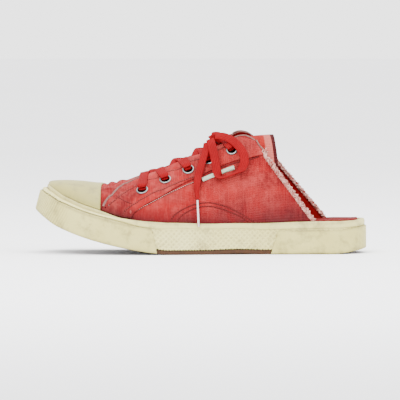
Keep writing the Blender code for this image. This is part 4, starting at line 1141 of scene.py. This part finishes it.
def make_layers():
    def top_at(x):
        return wall_height(x) - rim_height(x) - GAP

    band("bumper_layer", run_at("outer", BUMPER_LENGTH), run_at("inner", BUMPER_LENGTH),
         layer(BUMPER_THICK, top_at), bumper_rubber, ["toe_bumper"], 420, slant=-BUMPER_SLANT)

    def patch_top(x):
        return np.minimum(PATCH_HEIGHT, top_at(x))

    total = RUN[-1] - RUN[0]
    band("heel_layer", run_at("inner", PATCH_START), run_at("outer", PATCH_START) + total,
         layer(PATCH_THICK, patch_top), patch_rubber, ["heel_patch"], 300, slant=-PATCH_SLANT)

    def strip_corners(x, run):
        low = wall_height(x) - rim_height(x) - STRIP_SHOWS
        top = wall_height(x) + strip_top(x) - GAP
        outside = -(FOXING_WALL + GAP)
        return [
            (outside - STRIP_THICK, low), (outside, low), (outside + 0.2 * MM, top - 0.9 * MM),
            (outside - 0.1 * MM, top - 0.3 * MM), (outside - 0.6 * MM, top), (outside - STRIP_THICK, top),
        ]

    band("toe_strip_layer", run_at("outer", STRIP_LENGTH), run_at("inner", STRIP_LENGTH), strip_corners,
         strip_rubber, ["toe_strip"], 360)


def make_insole():
    def place(u, v):
        x = FOXING_FRONT + 6 * MM + (FOXING_BACK - FOXING_FRONT - 9.2 * MM) * (1 - np.cos(u * math.pi)) / 2
        ends = []
        for side in SIDES:
            inside = upper_out(x) - UPPER_WALL - GAP
            open_heel = fade(x, CUT_FOOT[side] + 3 * MM, CUT_FOOT[side] + 8 * MM)
            out = inside * open_heel - (FOXING_WALL + GAP) * (1 - open_heel)
            ends.append(wall_point(run_at(side, x), out, bed_height(x)))
        point = ends[0] + (ends[1] - ends[0]) * v[:, None]
        rolled = 0.8 * MM * np.abs(2 * v - 1) ** 6 - 0.3 * MM
        point[:, 2] = TOE_SPRING * sole_size("lift", x) + bed_height(x) + rolled
        return point, np.stack([x, point[:, 1]], axis=1)

    finish("footbed", grid(150, 40, place), footbed_cloth, ["insole"], wall=3.0 * MM, up=True)


# The upper


def foot_depth(x):
    return BED_DEPTH * sole_size("bed", x) + INSOLE_THICK


FOOT = 0.045  # the share of the sheet's rows that lie behind the foxing


def canvas_place(run, v):
    """A place on the canvas: v below 0 goes down behind the foxing."""
    x = ring_x(run)
    point = displaced(run, np.maximum(v, 0.0), 0.0)
    low = np.maximum(-v, 0.0) / FOOT
    foot = wall_point(run, upper_out(x), wall_height(x) + strip_top(x) - low * foot_depth(x))
    point = np.where((v < 0)[:, None], foot, point)
    return point, np.stack([run, v * CREASE_RISE], axis=1)


# Where the canvas has faded most: millimetres from the toe, v, and the reach of the patch along and up
FADES = table("""
at     v     along  up    share
120.0  0.42  12.0   0.10  0.42
176.0  0.44  24.0   0.16  0.40
205.0  0.26  12.0   0.14  0.25
76.0   0.80  12.0   0.20  0.10
90.0   0.86  10.0   0.12  0.15
100.0  0.62  7.0    0.06  0.30
""")


def wear_at(x, v):
    total = np.zeros_like(x)
    for at, height, along, up, share in zip(*(FADES[key] for key in FADES)):
        total += share * np.exp(-(((x - at * MM) / (along * MM)) ** 2) - ((v - height) / up) ** 2)
    return total


def make_upper():
    bm = bmesh.new()
    rows = 76
    for side in SIDES:

        def fore_x(u):
            return FOXING_FRONT + (VAMP_LENGTH - FOXING_FRONT) * (1 - np.cos(u * math.pi / 2))

        def fore(u, v):
            return canvas_place(run_at(side, fore_x(u)), v * (1 + FOOT) - FOOT)

        def quarter(u, v):
            up = v * (1 + FOOT) - FOOT
            x, height = quarter_place(side, u, np.maximum(up, 0.0))
            return canvas_place(run_at(side, x), np.where(up < 0, up, height))

        grid(100, rows, fore, bm, {"wear": lambda u, v: wear_at(fore_x(u), v)})
        grid(140, rows, quarter, bm, {"wear": lambda u, v: wear_at(quarter_place(side, u, v)[0], v)})
    finish("canvas_upper", bm, [faded_canvas, red_lining, raw_cloth], ["upper"],
           wall=UPPER_WALL, lining=True, up=True, merge=0.02 * MM)


EYESTAY = table("""
share  edge_at  edge   seam_at  seam
0.00   -0.381   0.030  -0.111   0.030
0.06   -0.354   0.340  -0.088   0.155
0.12   -0.295   0.600  -0.046   0.250
0.19   -0.224   0.810   0.007   0.340
0.26   -0.141   0.900   0.072   0.410
0.33   -0.058   0.945   0.143   0.465
0.40    0.019   0.968   0.223   0.525
0.52    0.220   0.952   0.362   0.585
0.64    0.421   0.920   0.540   0.630
0.76    0.623   0.905   0.723   0.662
0.88    0.815   0.898   0.901   0.662
1.00    0.990   0.835   1.078   0.690
""")


def eyestay_edge(side, share):
    """The eyestay's upper edge: distance from the toe and share of the height."""
    x = throat_x(read(EYESTAY, "share", "edge_at", share))
    rise = read(EYESTAY, "share", "edge", share)
    limit = read(TOP_EDGE, "along", side, (x - VAMP_LENGTH) / (QUARTER_END - VAMP_LENGTH))
    held = np.maximum(rise, limit - 0.01) if side == "inner" else np.minimum(rise, limit)
    return x, np.where(x > VAMP_LENGTH, held, rise)


def make_eyestays():
    for side, node in (("outer", "eyestay_lateral"), ("inner", "eyestay_medial")):

        def place(u, v):
            x, rise = eyestay_edge(side, u)
            seam_x = throat_x(read(EYESTAY, "share", "seam_at", u))
            high, low = v_at_rise(x, rise), v_at_rise(seam_x, read(EYESTAY, "share", "seam", u))
            at, height = seam_x + (x - seam_x) * v, low + (high - low) * v
            run = run_at(side, at)
            edge = np.minimum(np.minimum(u, 1 - u) * 60, np.minimum(v, 1 - v) * 18)
            soft = 0.35 * MM * np.clip(1 - edge, 0, 1) ** 2
            point = displaced(run, height, EYESTAY_OUT - soft)
            return point, np.stack([run, height * CREASE_RISE], axis=1)

        def wear(u, v):
            x, rise = eyestay_edge(side, u)
            return wear_at(x, v_at_rise(x, rise) * 0.5 + 0.2) + 0.12 * v**6

        finish(f"{node}_cloth", grid(170, 34, place, attributes={"wear": wear}), facing_canvas,
               [node], wall=0.8 * MM, up=True)


def make_raw_edges():
    """Cut cloth edges, paler than the dyed face: the eyestays' front and the collar's top."""
    bm = bmesh.new()
    for side in SIDES:
        x, rise = eyestay_edge(side, np.linspace(0.03, 0.40, 70))
        strip(bm, side, x, rise, EYESTAY_OUT - 0.1 * MM, 2.2 * MM, 0.5 * MM)
        along = np.linspace(0.80, 1.0, 40)
        strip(bm, side, throat_x(along), read(TOP_EDGE, "along", side, along), -0.6 * MM, 1.9 * MM, 0.9 * MM)
        corner = float(read(TOP_EDGE, "along", side, 1.0))
        rise = np.linspace(corner, corner * 0.80, 24)
        strip(bm, side, cut_at(side, rise), rise, -0.6 * MM, 1.9 * MM, 0.9 * MM)
    finish("raw_edges", bm, raw_cloth)


# The seams' lines, as pairs of millimetres from the toe and share of the height
INNER_STITCH = """63.2 .260 71.9 .532 79.7 .695 89.3 .780 98.2 .848 106.0 .830 116.9 .855 126.6 .823
136.2 .848 145.8 .843 160 .850 172 .845"""
SEAM_UP = "76.8 .077 79.6 .228 84.7 .340 93.4 .473 103.7 .560 116.7 .605 142.2 .635"
SEAM_LOW = "84.0 .068 86.2 .175 93.4 .305 100.2 .375 109.3 .450 116.6 .503 141.2 .573 150.0 .602"
SEAM_BACK = "150.0 .602 162.9 .640 180.3 .642 189.5 .652 196.0 .672"
CROSS_SEAM = "72.3 .532 78.6 .450 85.1 .380"
ARCH_OUT = """119.4 .035 122.7 .125 130.2 .208 140.4 .260 151.9 .265 163.1 .217 174.2 .143 185.4 .060
193.0 .004"""
ARCH_IN = """124.8 .018 128.7 .103 134.7 .168 142.6 .215 151.9 .220 162.0 .180 171.6 .120 180.3 .068
184.3 .035 188.4 .004"""
TOPLINE = "168.0 .850 172.0 .852 178.0 .850 184.0 .843 188.5 .807 192.4 .753 195.1 .688"


def make_seams():
    """Each seam is a darker line, painted shade of its sunk furrow, with its stitches standing in it."""
    furrows, dark, worn, pale = (bmesh.new() for _ in range(4))
    for side in SIDES:
        for text, out, thread in (
            (INNER_STITCH, EYESTAY_OUT, worn), (SEAM_UP, EYESTAY_OUT, worn), (SEAM_LOW, 0.1 * MM, pale),
            (SEAM_BACK, 0.1 * MM, dark), (CROSS_SEAM, EYESTAY_OUT, dark), (ARCH_OUT, 0.0, dark),
            (ARCH_IN, 0.0, dark), (TOPLINE, 0.0, worn),
        ):
            xs, rises = seam_path(side, text, 1.0 * MM)
            # The furrow strip's dark colour is painted shade of the seam's groove
            strip(furrows, side, xs, rises, out - 0.02 * MM, 1.3 * MM, 0.12 * MM)
            xs, rises = seam_path(side, text, 1.9 * MM)
            stitches(thread, side, xs, rises, out + 0.2 * MM, 1.5 * MM, 0.65 * MM)
    finish("seam_lines", furrows, seam_shade)
    finish("dark_stitches", dark, red_thread)
    finish("worn_stitches", worn, worn_thread)
    finish("pale_stitches", pale, pale_thread)


def make_tongue():
    def place(u, v):
        share = np.abs(2 * v - 1)
        swept = (5.4 * share**1.2 - 1.6) * MM * u**4
        plain_x = TONGUE_START + (TONGUE_END - TONGUE_START) * u
        x = plain_x + swept
        point = np.empty((len(u), 3))
        for side, chosen in (("outer", v < 0.5), ("inner", v >= 0.5)):
            point[chosen] = tongue_point(side, x[chosen], np.maximum(share[chosen], 0.002), 0.0)[0]
        point[:, 2] += 0.5 * MM * np.sin(u * 17 + v * 5) * np.sin(v * 11) * u
        return point, np.stack([plain_x, (v - 0.5) * TONGUE_WIDTH + 0.05], axis=1)

    sheet = grid(110, 56, place, attributes={"wear": lambda u, v: 0.15 * u})
    finish("canvas_tongue", sheet, tongue_canvas, ["tongue"], wall=TONGUE_THICK, up=True)


def make_toe_cap():
    bm = bmesh.new()
    for side in SIDES:

        def place(u, v):
            up = 0.002 + 0.998 * v
            end = CAP_LENGTH - 0.8 * MM + 2.8 * MM * up**6
            x = FOXING_FRONT + (end - FOXING_FRONT) * (1 - np.cos(u * math.pi / 2))
            run = run_at(side, x)
            edge = np.clip(1 - (1 - u) * 40, 0, 1)
            out = GAP + CAP_THICK - 0.5 * MM * edge**2
            point = arc_point(run, up) + out[:, None] * arc_normal(run, up)
            return point, np.stack([run, up * CREASE_RISE], axis=1)

        grid(90, 70, place, bm)
    finish("cap_layer", bm, cap_rubber, ["toe_cap"], wall=CAP_THICK, up=True,
           merge=0.05 * MM)


# Fittings and trims


def make_eyelets():
    """Rolled two-part rings, turned from their profile."""
    for side in SIDES:
        for k in range(len(EYELETS["along"])):
            centre, normal = eyelet_place(side, k)
            bm = bmesh.new()
            foot, base, top = -UPPER_WALL - 0.4 * MM, FLANGE_SEAT, FLANGE_SEAT + FLANGE_THICK
            profile = [
                (EYELET_HOLE, foot), (EYELET_BARREL, foot), (EYELET_BARREL, base),
                (EYELET_OUTER - 0.2 * MM, base), (EYELET_OUTER, base + 0.2 * MM),
                (EYELET_OUTER - 0.3 * MM, top - 0.15 * MM), (EYELET_OUTER - 1.0 * MM, top),
                (EYELET_HOLE + 0.35 * MM, top - 0.2 * MM), (EYELET_HOLE, top - 0.6 * MM),
            ]
            verts = [bm.verts.new((radius, 0.0, height)) for radius, height in profile]
            edges = [bm.edges.new((verts[j], verts[(j + 1) % len(verts)])) for j in range(len(verts))]
            bmesh.ops.spin(bm, geom=verts + edges, cent=(0, 0, 0), axis=(0, 0, 1), angle=2 * math.pi,
                           steps=40, use_merge=True)
            seat(bm, bm.verts, centre, normal)
            finish(f"ring_{side}_{k + 1}", bm, eyelet_metal, [f"eyelet_{side}_{k + 1}"])
    # In each ring's hole, a near-black disc: painted shade, where the hole shows only darkness
    bm = bmesh.new()
    for side in SIDES:
        for k in range(len(EYELETS["along"])):
            centre, normal = eyelet_place(side, k)
            made = bmesh.ops.create_cone(bm, cap_ends=True, segments=24, radius1=EYELET_HOLE,
                                         radius2=EYELET_HOLE, depth=0.5 * MM)["verts"]
            seat(bm, made, centre + normal * (EYESTAY_OUT - 0.05 * MM), normal)
    finish("hole_shade", bm, hole_shade_paint)


TAPE = table("""
along  rise
0.531  0.572
0.673  0.588
0.815  0.596
""")


def make_tape():
    along = np.linspace(TAPE["along"][0], TAPE["along"][-1], 44)
    bm = bmesh.new()
    rise = read(TAPE, "along", "rise", along)
    strip(bm, "outer", throat_x(along), rise, 0.35 * MM, 4.2 * MM, 0.75 * MM)
    finish("tape_strip", bm, cotton_tape, ["side_tape"])


CURL_CORNERS = 5
CURL_POINTS = 6
FRAY_THREADS = 460


def curl(bm, start, way, side, lift, length, radius, rng):
    """A thread that bends as it runs out."""
    points = []
    bend, phase = rng.uniform(0.7, 1.9), rng.uniform(0, 2 * math.pi)
    for share in np.linspace(0, 1, CURL_POINTS):
        turn = bend * 3.2 * share + phase * 0.4
        points.append(start + length * (way * (share * 0.75) + side * (0.28 * math.sin(turn) - 0.05)
                                        + lift * (0.30 * (1 - math.cos(turn)) * 0.6)))
    points = np.array(points)
    angles = np.arange(CURL_CORNERS) * 2 * math.pi / CURL_CORNERS
    rows = []
    for k, (point, tangent) in enumerate(zip(points, unit(np.gradient(points, axis=0)))):
        first = unit(np.cross(tangent, lift + 0.01))
        second = np.cross(tangent, first)
        size = radius * (1 - 0.35 * k / (CURL_POINTS - 1))
        ring = [point + size * (first * math.cos(a) + second * math.sin(a)) for a in angles]
        rows.append([bm.verts.new(world(p).tolist()) for p in ring])
    for row, after in zip(rows, rows[1:]):
        for j in range(CURL_CORNERS):
            following = (j + 1) % CURL_CORNERS
            bm.faces.new((row[j], row[following], after[following], after[j]))
    bm.faces.new(rows[0])
    bm.faces.new(rows[-1])


def make_frays():
    """Threads in clumps of six out of the heel's cut. inset: how far before the edge they start. reach: the
    longest's length, both in millimetres. top: the share of the cut's height that they cover."""
    for side, node, inset, reach, top in (
        ("outer", "fray_lateral", 1.6, 6.2, 0.85), ("inner", "fray_medial", 2.6, 4.8, 0.95),
    ):
        rng = np.random.default_rng(7 if side == "outer" else 11)
        bm = bmesh.new()
        for k in range(FRAY_THREADS):
            b = np.clip(0.02 + top * (k - k % 6 + rng.uniform(-1.5, 4.5)) / FRAY_THREADS, 0.01, 0.985)
            places = [quarter_place(side, 1.0, b + d) for d in (-0.01, 0.0, 0.01)]
            low, edge, high = (displaced(run_at(side, x), v, -0.9 * MM) for x, v in places)
            x, v = places[1]
            normal = arc_normal(run_at(side, x), v)
            along = unit(high - low)
            back = np.cross(along, normal)
            back = back if back[0] > 0 else -back
            way = unit(back + along * rng.uniform(-1.0, 1.0) + normal * rng.uniform(-0.7, 0.7))
            start = edge - back * inset * MM + normal * rng.uniform(-0.9, 0.8) * MM
            curl(bm, start, way, along * rng.choice((-1, 1)), normal * rng.choice((-1, 1)),
                 rng.uniform(1.8, reach) * MM, rng.uniform(0.5, 0.95) * MM, rng)
        finish(f"{node}_tufts", bm, fray_cotton, [node], merge=0)


def make_tacks():
    """Short dense bars of thread where the seams are pulled hardest."""
    for name, x, rise, size, finish_material in (
        ("tack_front", 64.0, 0.28, (2.2, 1.4, 0.6), raw_cloth),
        # The dot is drawn in the near-black painted hole shade
        ("tack_dot", 60.9, 0.165, (1.1, 1.1, 0.5), hole_shade_paint),
        ("tack_seam", 83.7, 0.185, (3.4, 1.8, 0.7), worn_thread),
    ):
        bm = bmesh.new()
        for side in SIDES:
            points, normals = on_side(side, [x * MM], [rise], EYESTAY_OUT)
            made = bmesh.ops.create_icosphere(bm, subdivisions=2, radius=0.5)["verts"]
            bmesh.ops.scale(bm, vec=tuple(s * MM for s in size), verts=made)
            seat(bm, made, points[0], normals[0])
        finish(name, bm, finish_material)


def dress_nodes():
    for name, made in (("outsole", tread_rubber), ("midsole", midsole_foam)):
        thing = frame["nodes"][name]
        thing.data.materials.clear()
        thing.data.materials.append(made)


make_camera()
make_studio()
for make in (
    make_laces, make_knot, make_bow, make_foxing, make_layers, make_insole, make_upper, make_eyestays,
    make_raw_edges, make_seams, make_tongue, make_toe_cap, make_eyelets, make_tape, make_frays, make_tacks,
    dress_nodes,
):
    make()
